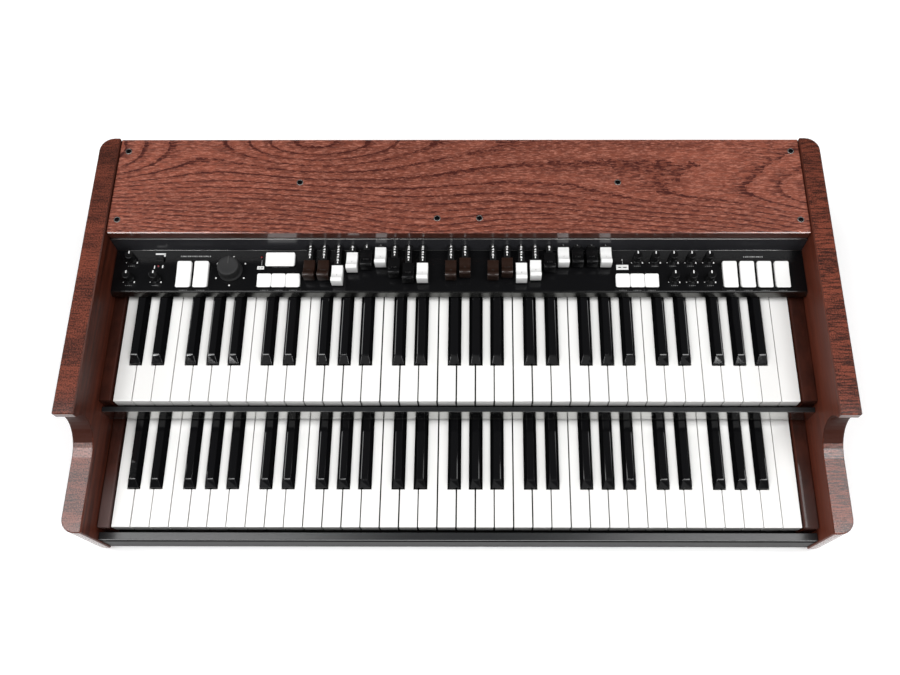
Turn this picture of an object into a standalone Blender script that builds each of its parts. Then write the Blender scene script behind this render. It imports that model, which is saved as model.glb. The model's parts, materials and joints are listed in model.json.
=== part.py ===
"""Two-manual electronic drawbar organ, modelled as an assembly of separate pieces.

Metres, +Z up. The player sits at -Y and +X is at the player's right hand.
The origin is the middle of the footprint, on the surface that the organ stands on.
"""

import math

import bmesh
import bpy
from mathutils import Matrix, Vector

# Clearances
FIT = 0.0003
KEY_GAP = 0.0009
SHARP_GAP = 0.0011
SHEET = 0.002
BLANK_MARGIN = 0.003

# Keyboards
OCTAVE = 0.165
OCTAVES = 5
HEAD_LENGTH = 0.0485
KEY_PLATE = 0.008
APRON_HEIGHT = 0.0175
APRON_WALL = 0.003
SHARP_WIDTH = 0.0137
SHARP_TOP_WIDTH = 0.0096
SHARP_RISE = 0.0102
SHARP_FOOT = 0.002
SHARP_SLOPE = 0.0088
SHARP_ROUND = 0.0013
SHARP_ROUND_STEPS = 2
SHARP_OFFSETS = {1: -0.0019, 2: 0.0024, 4: -0.0028, 5: 0.0006, 6: 0.0038}
PIVOT_REACH = 0.181
SPINE_WIDTH = 0.006
SPINE_HEIGHT = 0.006
SPINE_PITCH = 0.012
LOWER_KEY_TOP = 0.064
MANUAL_RISE = 0.0534
MANUAL_SETBACK = 0.1447
KEY_END_GAP = 0.0022
KEYS_OFFSET = -0.0019
LEVER_DROP = 0.001

# Wooden case
CHEEK_THICKNESS = 0.0255
CHEEK_CORNER = 0.018
INNER_CORNER = 0.002
KEY_INSET = 0.0165
ARM_ABOVE_KEYS = 0.0465
SCOOP_RADIUS = 0.039
LIP_AHEAD = 0.0377
LIP_HEIGHT = 0.0115
BLOCK_WIDTH = 0.0162
BLOCK_ABOVE_KEYS = 0.003
BLOCK_FRONT = 0.001
BOARD_DEPTH = 0.1389
BOARD_THICKNESS = 0.0142
BOARD_DROP = 0.0035
REAR_RECESS = 0.002
BOARD_SETBACK = 0.0007
EASED_EDGE = 0.0012
FOOT_HEIGHT = 0.010
FOOT_RADIUS = 0.015
FOOT_TAPER = 0.0015
FOOT_INSET = 0.045

# Control panel
KEY_SHOW = 0.1393
PANEL_STEP = 0.0202
PANEL_DEPTH = 0.0595
PANEL_TILT = math.radians(0)
PANEL_SHEET = 0.0015
PANEL_LIP = 0.0081
LIP_LEAN = 0.0034
FOLD_INSIDE = 0.0006
FOLD_STEPS = 3
RISER_HEIGHT = 0.0274
RISER_LEAN = 0.0018
RISER_FLANGE = 0.024

# Rails and bottom pan
MID_RAIL_DROP = 0.0104
MID_RAIL_GAP = 0.0037
MID_RAIL_DEPTH = 0.0065
DECK_CLEARANCE = 0.003
SLIP_DROP = 0.008
SLIP_GAP = 0.0047
SLIP_THICKNESS = 0.0037
SHADOW_GAP = 0.0018
PAN_RECESS = 0.0025
LOWER_DECK = 0.026

# Drawbars
DRAWBAR_PITCH = 0.018
DRAWBAR_STEP = 0.0037
DRAWBAR_STOPS = 8
CAP_WIDTH = 0.0141
CAP_LENGTH = 0.024
CAP_CLEARANCE = 0.003
CAP_HEIGHT = 0.015
CAP_RISER_GAP = 0.0024
CAP_SHELF = 0.0102
CAP_SWEEP_START = 0.0144
CAP_SWEEP_RADIUS = 0.012
CAP_NOSE = 0.0022
CAP_CHAMFER = 0.0012
ROD_WIDTH = 0.008
ROD_THICKNESS = 0.0035
ROD_LIFT = 0.009
ROD_TAIL = 0.012
UPPER_SET_X = -0.1896
PEDAL_SET_X = -0.0096
LOWER_SET_X = 0.0440
UPPER_SETTINGS = (5, 5, 7, 2, 1, 0, 4, 6, 6)
PEDAL_SETTINGS = (5, 4)
LOWER_SETTINGS = (5, 4, 6, 5, 2, 0, 0, 0, 0)

# Knobs
KNOB_RADIUS = 0.006
KNOB_HEIGHT = 0.0138
KNOB_TAPER = 0.0006
KNOB_EDGE = 0.0008
KNOB_SIDES = 14
SHAFT_RADIUS = 0.003
SHAFT_DEPTH = 0.008
KNOB_COLUMN_PITCH = 0.0228
KNOB_ROW_PITCH = 0.0276
KNOB_FRONT_ROW = 0.01865
RIGHT_KNOBS_X = 0.2289
LEFT_KNOBS_INSET = 0.0214
LEFT_KNOBS_PITCH = 0.0342
SELECTOR_X = -0.2922
SELECTOR_UP = 0.0297
SELECTOR_RADIUS = 0.0128
SELECTOR_SKIRT = 0.0155
SELECTOR_SKIRT_HEIGHT = 0.0045
SELECTOR_HEIGHT = 0.0158
SELECTOR_EDGE = 0.0012
SELECTOR_TAPER = 0.0004
SELECTOR_SIDES = 24

# Rocker tabs and the push button
TAB_TILT = math.radians(4)
TAB_LIFT = 0.0026
TAB_THICKNESS = 0.0052
TAB_DISH = 0.0009
TALL_TAB = (0.0187, 0.0372)
TALL_TAB_PITCH = 0.022
TALL_TAB_UP = 0.022
TALL_TABS_RIGHT_INSET = 0.0309
TALL_TABS_LEFT_X = -0.3503
SMALL_TAB = (0.0183, 0.0198)
SMALL_TAB_UP = 0.01315
SMALL_TAB_SEAM = 0.0004
SMALL_TABS_LEFT_X = -0.2286
SMALL_TABS_RIGHT_X = 0.2269
WIDE_TAB = (0.0378, 0.0204)
WIDE_TAB_UP = 0.043
WEB_DEPTH = 0.008
WEB_DROP = 0.006
WEB_PLAY = 0.0006
BUTTON_SIZE = (0.009, 0.007)
BUTTON_RISE = 0.0035
BUTTON_SKIRT = 0.004
BUTTON_EDGE = 0.0005
BUTTON_X_INSET = 0.0587
BUTTON_UP = 0.0458

# Rear and inside
INLET_WIDTH = 0.028
INLET_HEIGHT = 0.022
INLET_DEPTH = 0.020
INLET_WALL = 0.002
INLET_FLANGE = 0.0015
INLET_FLANGE_RIM = 0.004
INLET_X = -0.380
INLET_Z = 0.060
BOARD_POST_HEIGHT = 0.008
BOARD_POST_RADIUS = 0.004
CIRCUIT_THICKNESS = 0.0016
CIRCUIT_WIDTH = 0.240
CIRCUIT_DEPTH = 0.090
CIRCUIT_X = 0.120
CIRCUIT_PARTS = (
    (0.050, 0.045, 0.030, 0.030, 0.003),
    (0.105, 0.050, 0.024, 0.024, 0.003),
    (0.160, 0.030, 0.014, 0.030, 0.004),
    (0.205, 0.055, 0.030, 0.036, 0.022),
)

# Worked out across the width
NATURAL_PITCH = OCTAVE / 7
NATURALS = 7 * OCTAVES + 1
KEYS_HALF = NATURALS * NATURAL_PITCH / 2
KEYS_LEFT = KEYS_OFFSET - KEYS_HALF
BLOCK_INNER = KEYS_HALF - KEY_GAP / 2 + KEY_END_GAP
CASE_HALF = BLOCK_INNER + BLOCK_WIDTH
CHEEK_INNER = CASE_HALF + FIT
CHEEK_OUTER = CHEEK_INNER + CHEEK_THICKNESS

# Worked out along the depth
KEYS_DEPTH = KEY_INSET + MANUAL_SETBACK + KEY_SHOW
DEPTH = KEYS_DEPTH + PANEL_DEPTH + RISER_LEAN + BOARD_SETBACK + BOARD_DEPTH
FRONT = -DEPTH / 2
REAR = DEPTH / 2
LOWER_FRONT = FRONT + KEY_INSET
UPPER_FRONT = LOWER_FRONT + MANUAL_SETBACK
PANEL_FRONT = UPPER_FRONT + KEY_SHOW
BOARD_FRONT = REAR - BOARD_DEPTH
SHEET_REAR = REAR - REAR_RECESS
LIP_Y = UPPER_FRONT - LIP_AHEAD

# Worked out up the height
UPPER_KEY_TOP = LOWER_KEY_TOP + MANUAL_RISE
PANEL_Z = UPPER_KEY_TOP + PANEL_STEP
RISER_FOOT_Z = PANEL_Z + PANEL_DEPTH * math.tan(PANEL_TILT)
RISER_TOP_Z = RISER_FOOT_Z + RISER_HEIGHT
BOARD_UNDER = RISER_TOP_Z + FIT
HEIGHT = BOARD_UNDER + BOARD_THICKNESS + BOARD_DROP
ARM_TOP = LOWER_KEY_TOP + ARM_ABOVE_KEYS
PAN_FLOOR = FOOT_HEIGHT + SHEET
UPPER_COMB_UNDER = UPPER_KEY_TOP - APRON_HEIGHT
DECK_UNDER = LOWER_KEY_TOP + SHARP_RISE + DECK_CLEARANCE
MID_RAIL_TOP = UPPER_KEY_TOP - MID_RAIL_DROP
MID_RAIL_REAR = UPPER_FRONT - MID_RAIL_GAP
MID_RAIL_FRONT = MID_RAIL_REAR - MID_RAIL_DEPTH
LAST_SPINE_REAR = UPPER_FRONT + PIVOT_REACH + 2 * SPINE_PITCH + SPINE_WIDTH / 2


def clear_scene():
    """Removes whatever the file holds, so that the organ stands alone."""
    for thing in list(bpy.data.objects):
        bpy.data.objects.remove(thing, do_unlink=True)


def collection(name, hidden=False):
    """A collection under the scene's own one."""
    made = bpy.data.collections.new(name)
    made.hide_render = hidden
    bpy.context.scene.collection.children.link(made)
    return made


def material(name, colour, roughness, metallic=0.0):
    """A Principled material in one colour."""
    made = bpy.data.materials.new(name)
    made.use_nodes = True
    shader = made.node_tree.nodes["Principled BSDF"]
    shader.inputs["Base Color"].default_value = (*colour, 1.0)
    shader.inputs["Roughness"].default_value = roughness
    shader.inputs["Metallic"].default_value = metallic
    made.diffuse_color = (*colour, 1.0)
    return made


def add_box(shape, low, high):
    """Adds a box between two corners to a bmesh and gives its vertices back."""
    low = Vector(low)
    size = Vector(high) - low
    place = Matrix.Translation(low + size / 2) @ Matrix.Diagonal((*size, 1.0))
    return bmesh.ops.create_cube(shape, size=1.0, matrix=place)["verts"]


def mesh_of(name, shape):
    """Turns a bmesh into a mesh with its faces pointing out."""
    bmesh.ops.recalc_face_normals(shape, faces=shape.faces)
    mesh = bpy.data.meshes.new(name)
    shape.to_mesh(mesh)
    shape.free()
    return mesh


def boxes(name, corners):
    """An object of one or more boxes, each given as (low, high)."""
    shape = bmesh.new()
    for low, high in corners:
        add_box(shape, low, high)
    return helper(name, mesh_of(name, shape))


def helper(name, mesh):
    """A working object in the cutters' collection."""
    made = bpy.data.objects.new(name, mesh)
    made.hide_render = True
    made.display_type = "WIRE"
    CUTTERS.objects.link(made)
    return made


def evaluated_mesh(thing, name):
    """The mesh of an object with its modifiers applied and its doubled points merged."""
    bpy.context.view_layer.update()
    graph = bpy.context.evaluated_depsgraph_get()
    mesh = bpy.data.meshes.new_from_object(thing.evaluated_get(graph))
    mesh.name = name
    shape = bmesh.new()
    shape.from_mesh(mesh)
    bmesh.ops.remove_doubles(shape, verts=shape.verts, dist=1e-6)
    shape.to_mesh(mesh)
    shape.free()
    return mesh


def outline_mesh(name, points, thickness):
    """A flat outline in local XY, extruded evenly along local Z."""
    curve = bpy.data.curves.new(name, "CURVE")
    curve.dimensions = "2D"
    curve.fill_mode = "BOTH"
    curve.extrude = thickness / 2
    spline = curve.splines.new("POLY")
    spline.points.add(len(points) - 1)
    for point, (x, y) in zip(spline.points, points):
        point.co = (x, y, 0.0, 1.0)
    spline.use_cyclic_u = True
    drawn = bpy.data.objects.new(name, curve)
    CUTTERS.objects.link(drawn)
    mesh = evaluated_mesh(drawn, name)
    bpy.data.objects.remove(drawn, do_unlink=True)
    return mesh


def side_profile(name, points, low_x, high_x):
    """An outline given as (y, z) points, extruded from one x to another."""
    mesh = outline_mesh(name, points, high_x - low_x)
    stand = Matrix(((0, 0, 1, (low_x + high_x) / 2), (1, 0, 0, 0), (0, 1, 0, 0), (0, 0, 0, 1)))
    mesh.transform(stand)
    return helper(name, mesh)


def arc(centre, radius, start, end, steps):
    """Points along an arc, with angles in degrees."""
    angles = [math.radians(start + (end - start) * i / steps) for i in range(steps + 1)]
    return [(centre[0] + radius * math.cos(a), centre[1] + radius * math.sin(a)) for a in angles]


def combine(target, other, operation):
    """Adds a Boolean to the target with the other object as its operand."""
    boolean = target.modifiers.new(other.name, "BOOLEAN")
    boolean.operation = operation
    boolean.object = other
    boolean.solver = "EXACT"


def eased(target, width, segments=1, angle=40):
    """Adds a Bevel on the edges sharper than an angle."""
    bevel = target.modifiers.new("eased edges", "BEVEL")
    bevel.width = width
    bevel.segments = segments
    bevel.limit_method = "ANGLE"
    bevel.angle_limit = math.radians(angle)
    bevel.use_clamp_overlap = True


def finished(target, name, finish):
    """The piece itself: the evaluated mesh of a working object, in the organ's collection."""
    mesh = evaluated_mesh(target, name)
    mesh.materials.clear()
    mesh.materials.append(finish)
    mesh.shade_smooth()
    mesh.set_sharp_from_angle(angle=math.radians(30))
    bpy.data.objects.remove(target, do_unlink=True)
    return mesh


def place(name, mesh, location=(0, 0, 0), parent=None):
    """Puts a piece in the scene at its joint's axis or at the organ's origin."""
    made = bpy.data.objects.new(name, mesh)
    made.location = location
    made.parent = parent
    ORGAN.objects.link(made)
    return made


def recentred(mesh, point):
    """Moves a mesh so that a point of the organ becomes its origin."""
    mesh.transform(Matrix.Translation(-Vector(point)))
    return mesh


def natural_outline(number):
    """The plan of one natural key, with the notches that its sharps leave it."""
    note = number % 7
    left = KEYS_LEFT + number * NATURAL_PITCH
    right = left + NATURAL_PITCH
    has_left = note in SHARP_OFFSETS
    has_right = note + 1 in SHARP_OFFSETS and number < NATURALS - 1
    clear = SHARP_WIDTH / 2 + SHARP_GAP
    tail_left = left + SHARP_OFFSETS[note] + clear if has_left else left + KEY_GAP / 2
    tail_right = right + SHARP_OFFSETS[note + 1] - clear if has_right else right - KEY_GAP / 2
    return left + KEY_GAP / 2, right - KEY_GAP / 2, tail_left, tail_right


def natural_comb(name, notes, slot):
    """Every natural of the given notes, moulded in one piece with the spine that it turns on."""
    front = UPPER_FRONT
    notch = front + HEAD_LENGTH - SHARP_GAP
    pivot = front + PIVOT_REACH + slot * SPINE_PITCH
    under = UPPER_COMB_UNDER
    top = UPPER_KEY_TOP
    blanks = bmesh.new()
    numbers = [n for n in range(NATURALS) if n % 7 in notes]
    for number in numbers:
        left, right, tail_left, tail_right = natural_outline(number)
        outline = [
            (left, front), (right, front), (right, notch), (tail_right, notch),
            (tail_right, pivot + SPINE_WIDTH / 4), (tail_left, pivot + SPINE_WIDTH / 4),
            (tail_left, notch), (left, notch),
        ]
        outline = [p for i, p in enumerate(outline) if p != outline[i - 1]]
        outline = without_straight_points(outline)
        blank = outline_mesh("natural", outline, top - under)
        blank.transform(Matrix.Translation((0, 0, (top + under) / 2)))
        blanks.from_mesh(blank)
    comb = helper(name, mesh_of(name, blanks))
    hollow = boxes(
        name + "_hollow",
        [(
            (-CASE_HALF, front + APRON_WALL, under - KEY_PLATE),
            (CASE_HALF, pivot - SPINE_WIDTH / 4, top - KEY_PLATE),
        )],
    )
    combine(comb, hollow, "DIFFERENCE")
    first = natural_outline(numbers[0])[2]
    last = natural_outline(numbers[-1])[3]
    spine = boxes(
        name + "_spine",
        [((first, pivot - SPINE_WIDTH / 2, under), (last, pivot + SPINE_WIDTH / 2, under + SPINE_HEIGHT))],
    )
    combine(comb, spine, "UNION")
    return recentred(finished(comb, name, IVORY), (0, pivot, under))


def without_straight_points(outline):
    """Drops the points that lie on a straight run of an outline."""
    kept = []
    for i, (x, y) in enumerate(outline):
        before = outline[i - 1]
        after = outline[(i + 1) % len(outline)]
        turn = (x - before[0]) * (after[1] - y) - (y - before[1]) * (after[0] - x)
        if abs(turn) > 1e-9:
            kept.append((x, y))
    return kept


def sharp_centres():
    """The middle of every sharp, from left to right."""
    centres = []
    for number in range(1, NATURALS - 1):
        if number % 7 in SHARP_OFFSETS:
            centres.append(KEYS_LEFT + number * NATURAL_PITCH + SHARP_OFFSETS[number % 7])
    return centres


def sharp_cap():
    """One raised sharp: an upright foot, then tapered, with a sloped front and rounded edges."""
    base = UPPER_KEY_TOP - KEY_PLATE
    top = UPPER_KEY_TOP + SHARP_RISE
    shape = bmesh.new()
    low = (-SHARP_WIDTH / 2, UPPER_FRONT + HEAD_LENGTH, base)
    high = (SHARP_WIDTH / 2, PANEL_FRONT + SHARP_SLOPE, top)
    add_box(shape, low, high)
    everything = shape.verts[:] + shape.edges[:] + shape.faces[:]
    foot = (0, 0, UPPER_KEY_TOP + SHARP_FOOT)
    bmesh.ops.bisect_plane(shape, geom=everything, plane_co=foot, plane_no=(0, 0, 1))
    crown = [v for v in shape.verts if v.co.z > top - 1e-5]
    for vertex in crown:
        vertex.co.x *= SHARP_TOP_WIDTH / SHARP_WIDTH
        if vertex.co.y < 0:
            vertex.co.y += SHARP_SLOPE
    rim = [e for e in shape.edges if all(v in crown for v in e.verts)]
    bmesh.ops.bevel(
        shape, geom=rim, offset=SHARP_ROUND, segments=SHARP_ROUND_STEPS, profile=0.5,
        affect="EDGES", clamp_overlap=True,
    )
    return mesh_of("sharp_cap", shape)


def sharp_comb(name, slot):
    """All the sharps of one manual with their spine."""
    pivot = UPPER_FRONT + PIVOT_REACH + slot * SPINE_PITCH
    under = UPPER_COMB_UNDER
    cap = sharp_cap()
    centres = sharp_centres()
    caps = bmesh.new()
    levers = bmesh.new()
    for centre in centres:
        cap.transform(Matrix.Translation((centre, 0, 0)))
        caps.from_mesh(cap)
        cap.transform(Matrix.Translation((-centre, 0, 0)))
        half = SHARP_TOP_WIDTH / 2
        add_box(
            levers,
            (centre - half, PANEL_FRONT, under + SPINE_HEIGHT / 2),
            (centre + half, pivot + SPINE_WIDTH / 4, UPPER_KEY_TOP - LEVER_DROP),
        )
    comb = helper(name, mesh_of(name, caps))
    lever_set = helper(name + "_levers", mesh_of(name + "_levers", levers))
    hollow = boxes(
        name + "_hollow",
        [(
            (-CASE_HALF, PANEL_FRONT - SHARP_SLOPE, under),
            (CASE_HALF, pivot - SPINE_WIDTH / 4, UPPER_KEY_TOP - KEY_PLATE),
        )],
    )
    combine(lever_set, hollow, "DIFFERENCE")
    combine(comb, lever_set, "UNION")
    half = SHARP_TOP_WIDTH / 2
    spine = boxes(
        name + "_spine",
        [(
            (centres[0] - half, pivot - SPINE_WIDTH / 2, under),
            (centres[-1] + half, pivot + SPINE_WIDTH / 2, under + SPINE_HEIGHT),
        )],
    )
    combine(comb, spine, "UNION")
    return recentred(finished(comb, name, EBONY), (0, pivot, under))


def make_manuals():
    """Both manuals: the lower one is the upper one's three combs, set forward and down."""
    combs = {
        "naturals_cegb": (natural_comb("naturals_cegb", (0, 2, 4, 6), 0), 0),
        "naturals_dfa": (natural_comb("naturals_dfa", (1, 3, 5), 1), 1),
        "sharps": (sharp_comb("sharps", 2), 2),
    }
    for manual, setback, drop in (("upper", 0.0, 0.0), ("lower", MANUAL_SETBACK, MANUAL_RISE)):
        for name, (mesh, slot) in combs.items():
            pivot = UPPER_FRONT + PIVOT_REACH + slot * SPINE_PITCH
            place(f"{manual}_{name}", mesh, (0, pivot - setback, UPPER_COMB_UNDER - drop))


def cheek_profile():
    """The cheek seen from the side: a low arm, a scoop and a lip under the raised rear part."""
    scoop_z = ARM_TOP + SCOOP_RADIUS
    rise = HEIGHT - LIP_HEIGHT - scoop_z
    end = math.degrees(math.asin(rise / SCOOP_RADIUS))
    scoop_y = LIP_Y - SCOOP_RADIUS * math.cos(math.radians(end))
    front = FRONT - BLANK_MARGIN
    rear = REAR + BLANK_MARGIN
    points = [(front, FOOT_HEIGHT), (front, ARM_TOP)]
    points += arc((scoop_y, scoop_z), SCOOP_RADIUS, -90, end, 14)
    points += [(LIP_Y, HEIGHT), (rear, HEIGHT), (rear, FOOT_HEIGHT)]
    return points[::-1]


def make_cheeks():
    """Left and right cheek: the side profile, met with a plan that has rounded outer corners."""
    low, high = CHEEK_INNER, CHEEK_OUTER
    plan = arc((high - CHEEK_CORNER, REAR - CHEEK_CORNER), CHEEK_CORNER, 0, 90, 6)
    plan += arc((low + INNER_CORNER, REAR - INNER_CORNER), INNER_CORNER, 90, 180, 3)
    plan += [(low, FRONT)]
    plan += arc((high - CHEEK_CORNER, FRONT + CHEEK_CORNER), CHEEK_CORNER, -90, 0, 6)
    plan = [p for i, p in enumerate(plan) if math.dist(p, plan[i - 1]) > 1e-6]
    for name, side in (("left_cheek", -1), ("right_cheek", 1)):
        body = side_profile(name, cheek_profile(), low - BLANK_MARGIN, high + BLANK_MARGIN)
        slab = helper(name + "_plan", outline_mesh("plan", plan, 3 * HEIGHT))
        combine(body, slab, "INTERSECT")
        eased(body, EASED_EDGE)
        mesh = finished(body, name, CHEEK_WOOD)
        if side < 0:
            mesh.transform(Matrix.Diagonal((-1, 1, 1, 1)))
            mesh.flip_normals()
        place(name, mesh)


def make_key_blocks():
    """The stepped blocks between the cheeks and the keys, one piece for both manuals on each side."""
    low_front = LOWER_FRONT - BLOCK_FRONT
    high_front = UPPER_FRONT - BLOCK_FRONT
    foot = LOWER_DECK + SHEET + FIT
    rear = BOARD_FRONT - RISER_LEAN - 2 * BLOCK_ABOVE_KEYS
    points = [
        (low_front, foot), (rear, foot), (rear, UPPER_KEY_TOP + BLOCK_ABOVE_KEYS),
        (high_front, UPPER_KEY_TOP + BLOCK_ABOVE_KEYS), (high_front, LOWER_KEY_TOP + BLOCK_ABOVE_KEYS),
        (low_front, LOWER_KEY_TOP + BLOCK_ABOVE_KEYS),
    ]
    for name, side in (("left_key_block", -1), ("right_key_block", 1)):
        ends = sorted((KEYS_OFFSET + side * BLOCK_INNER, side * CASE_HALF))
        block = side_profile(name, points, *ends)
        eased(block, EASED_EDGE)
        place(name, finished(block, name, CHEEK_WOOD))


def make_top_board():
    """The wooden board behind the controls, resting on the riser's flange and the rear panel."""
    board = boxes(
        "top_board",
        [((-CASE_HALF, BOARD_FRONT, BOARD_UNDER), (CASE_HALF, REAR, BOARD_UNDER + BOARD_THICKNESS))],
    )
    eased(board, EASED_EDGE)
    place("top_board", finished(board, "top_board", BOARD_WOOD))


def make_bottom_pan():
    """The folded bottom pan with its front wall, top flange and four feet."""
    wall_top = LOWER_KEY_TOP - SLIP_DROP - SLIP_THICKNESS - SHADOW_GAP
    front = FRONT + PAN_RECESS
    flange = LOWER_FRONT - SLIP_GAP
    rear = SHEET_REAR
    section = [
        (front, FOOT_HEIGHT), (rear, FOOT_HEIGHT), (rear, PAN_FLOOR), (front + SHEET, PAN_FLOOR),
        (front + SHEET, wall_top - SHEET), (flange, wall_top - SHEET), (flange, wall_top), (front, wall_top),
    ]
    pan = side_profile("bottom_pan", section, -CASE_HALF, CASE_HALF)
    feet = bmesh.new()
    for x in (-1, 1):
        for y in (FRONT + FOOT_INSET, REAR - FOOT_INSET):
            height = FOOT_HEIGHT + SHEET / 2
            spot = Matrix.Translation((x * (CASE_HALF - FOOT_INSET), y, height / 2))
            bmesh.ops.create_cone(
                feet, cap_ends=True, segments=20, radius1=FOOT_RADIUS - FOOT_TAPER, radius2=FOOT_RADIUS,
                depth=height, matrix=spot,
            )
    combine(pan, helper("feet", mesh_of("feet", feet)), "UNION")
    place("bottom_pan", finished(pan, "bottom_pan", BLACK_STEEL))


def make_slip_rail():
    """The rail in front of the lower keys, standing on the pan's flange over a narrow shadow gap."""
    top = LOWER_KEY_TOP - SLIP_DROP
    front = FRONT + PAN_RECESS
    rear = LOWER_FRONT - SLIP_GAP
    under = top - SLIP_THICKNESS
    seat = under - SHADOW_GAP + FIT
    third = (rear - front) / 4
    section = [
        (front, under), (front + third, under), (front + third, seat), (rear - third, seat),
        (rear - third, under), (rear, under), (rear, top), (front, top),
    ]
    rail = side_profile("slip_rail", section, -CASE_HALF, CASE_HALF)
    place("slip_rail", finished(rail, "slip_rail", GREY_STEEL))


def make_keybed_frame():
    """The steel frame that carries both manuals; its folded front edge is the rail between them."""
    left = KEYS_OFFSET - BLOCK_INNER + FIT
    right = KEYS_OFFSET + BLOCK_INNER - FIT
    wide = CASE_HALF
    deck_front = LOWER_FRONT + APRON_WALL
    seat = UPPER_COMB_UNDER - FIT
    seat_front = UPPER_FRONT + PIVOT_REACH - SPINE_WIDTH
    seat_rear = LAST_SPINE_REAR + SPINE_WIDTH / 2
    wall = seat_rear - MANUAL_SETBACK + SHEET
    deck_top = DECK_UNDER + SHEET
    foot = PAN_FLOOR + FIT
    lower_seat = seat - MANUAL_RISE
    lower_front = seat_front - MANUAL_SETBACK
    lower_rear = seat_rear - MANUAL_SETBACK
    low_deck_top = LOWER_DECK + SHEET
    lap = SHEET / 4
    panels = [
        # lower deck, its front leg and the lower pivot step
        (-wide, deck_front, LOWER_DECK, wide, wall + SHEET, low_deck_top),
        (left, deck_front, foot, right, deck_front + SHEET, LOWER_DECK + lap),
        (left, lower_front, lower_seat - SHEET, right, lower_rear, lower_seat),
        (left, lower_front, low_deck_top - lap, right, lower_front + SHEET, lower_seat - lap),
        # wall between the manuals and the upper deck
        (left, wall, foot, right, wall + SHEET, DECK_UNDER + lap),
        (left, MID_RAIL_FRONT + lap, DECK_UNDER, right, seat_rear, deck_top),
        # rail in front of the upper manual
        (-wide, MID_RAIL_FRONT, DECK_UNDER, wide, MID_RAIL_FRONT + SHEET, MID_RAIL_TOP),
        (-wide, MID_RAIL_FRONT + lap, MID_RAIL_TOP - SHEET, wide, MID_RAIL_REAR, MID_RAIL_TOP),
        # upper pivot step and its two legs
        (left, seat_front, seat - SHEET, right, seat_rear, seat),
        (left, seat_front, deck_top - lap, right, seat_front + SHEET, seat - lap),
        (left, seat_rear - SHEET, foot, right, seat_rear, seat - lap),
    ]
    frame = boxes("keybed_frame", [(panels[0][:3], panels[0][3:])])
    for number, sizes in enumerate(panels[1:]):
        combine(frame, boxes(f"frame_{number}", [(sizes[:3], sizes[3:])]), "UNION")
    place("keybed_frame", finished(frame, "keybed_frame", GREY_STEEL))


def folded(run, radii):
    """An open run of (y, z) points with each inner corner turned into a fold of its own radius."""
    rounded = [run[0]]
    for before, corner, after, radius in zip(run, run[1:], run[2:], radii):
        corner = Vector(corner)
        to_before = (Vector(before) - corner).normalized()
        to_after = (Vector(after) - corner).normalized()
        half = to_before.angle(to_after) / 2
        centre = corner + (to_before + to_after).normalized() * radius / math.sin(half)
        start = corner + to_before * radius / math.tan(half) - centre
        turn = (math.pi - 2 * half) * (-1 if to_before.cross(to_after) > 0 else 1)
        for i in range(FOLD_STEPS + 1):
            rounded.append(centre + Matrix.Rotation(turn * i / FOLD_STEPS, 2) @ start)
    return rounded + [run[-1]]


def panel_section():
    """The folded sheet from its front lip to the flange under the board, as one open run."""
    foot = PANEL_FRONT + PANEL_DEPTH
    run = [
        (PANEL_FRONT - LIP_LEAN, PANEL_Z - PANEL_LIP),
        (PANEL_FRONT, PANEL_Z),
        (foot, RISER_FOOT_Z),
        (foot + RISER_LEAN, RISER_TOP_Z),
        (foot + RISER_LEAN + RISER_FLANGE, RISER_TOP_Z),
    ]
    outside = FOLD_INSIDE + PANEL_SHEET
    return folded(run, (outside, FOLD_INSIDE, outside))


def make_control_panel():
    """The folded panel: an open sheet thickened by Solidify, then pierced for each control."""
    shape = bmesh.new()
    rows = []
    for x in (-CASE_HALF, CASE_HALF):
        rows.append([shape.verts.new((x, y, z)) for y, z in panel_section()])
    for left, left_next, right, right_next in zip(rows[0], rows[0][1:], rows[1], rows[1][1:]):
        shape.faces.new((left, right, right_next, left_next))
    panel = helper("control_panel", mesh_of("control_panel", shape))
    sheet = panel.modifiers.new("sheet", "SOLIDIFY")
    sheet.thickness = PANEL_SHEET
    deck = max(panel.data.polygons, key=lambda face: face.area)
    sheet.offset = -1 if deck.normal.z > 0 else 1
    sheet.use_even_offset = True
    combine(panel, control_openings(), "DIFFERENCE")
    place("control_panel", finished(panel, "control_panel", BLACK_PANEL))


def control_openings():
    """Everything that is cut through the control panel, as one cutter."""
    shape = bmesh.new()
    for x, _ in drawbar_places():
        half = ROD_WIDTH / 2 + FIT
        start = RISER_UP - RISER_REACH
        low = (x - half, start, ROD_LIFT - FIT)
        high = (x + half, RISER_UP + RISER_REACH, ROD_LIFT + ROD_THICKNESS + FIT)
        add_box(shape, low, high)
    for _, x, up, (width, _), count in tab_places():
        half = count * width / 2 - WEB_DEPTH / 2 + FIT
        depth = WEB_DEPTH / 2 + WEB_PLAY
        add_box(shape, (x - half, up - depth, -WEB_DROP), (x + half, up + depth, TAB_LIFT))
    x, up = BUTTON_PLACE
    half_x = BUTTON_SIZE[0] / 2 + FIT
    half_y = BUTTON_SIZE[1] / 2 + FIT
    add_box(shape, (x - half_x, up - half_y, -BUTTON_SKIRT), (x + half_x, up + half_y, BUTTON_RISE))
    for _, x, up in knob_places():
        bmesh.ops.create_cone(
            shape, cap_ends=True, segments=12, radius1=SHAFT_RADIUS + FIT, radius2=SHAFT_RADIUS + FIT,
            depth=2 * SHAFT_DEPTH, matrix=Matrix.Translation((x, up, 0)),
        )
    cutter = helper("control_openings", mesh_of("control_openings", shape))
    cutter.data.transform(PANEL_FRAME)
    return cutter


def drawbar_places():
    """(x, setting) for the twenty drawbars, from left to right."""
    places = []
    for start, settings in (
        (UPPER_SET_X, UPPER_SETTINGS), (PEDAL_SET_X, PEDAL_SETTINGS), (LOWER_SET_X, LOWER_SETTINGS),
    ):
        places += [(start + i * DRAWBAR_PITCH, setting) for i, setting in enumerate(settings)]
    return places


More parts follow.
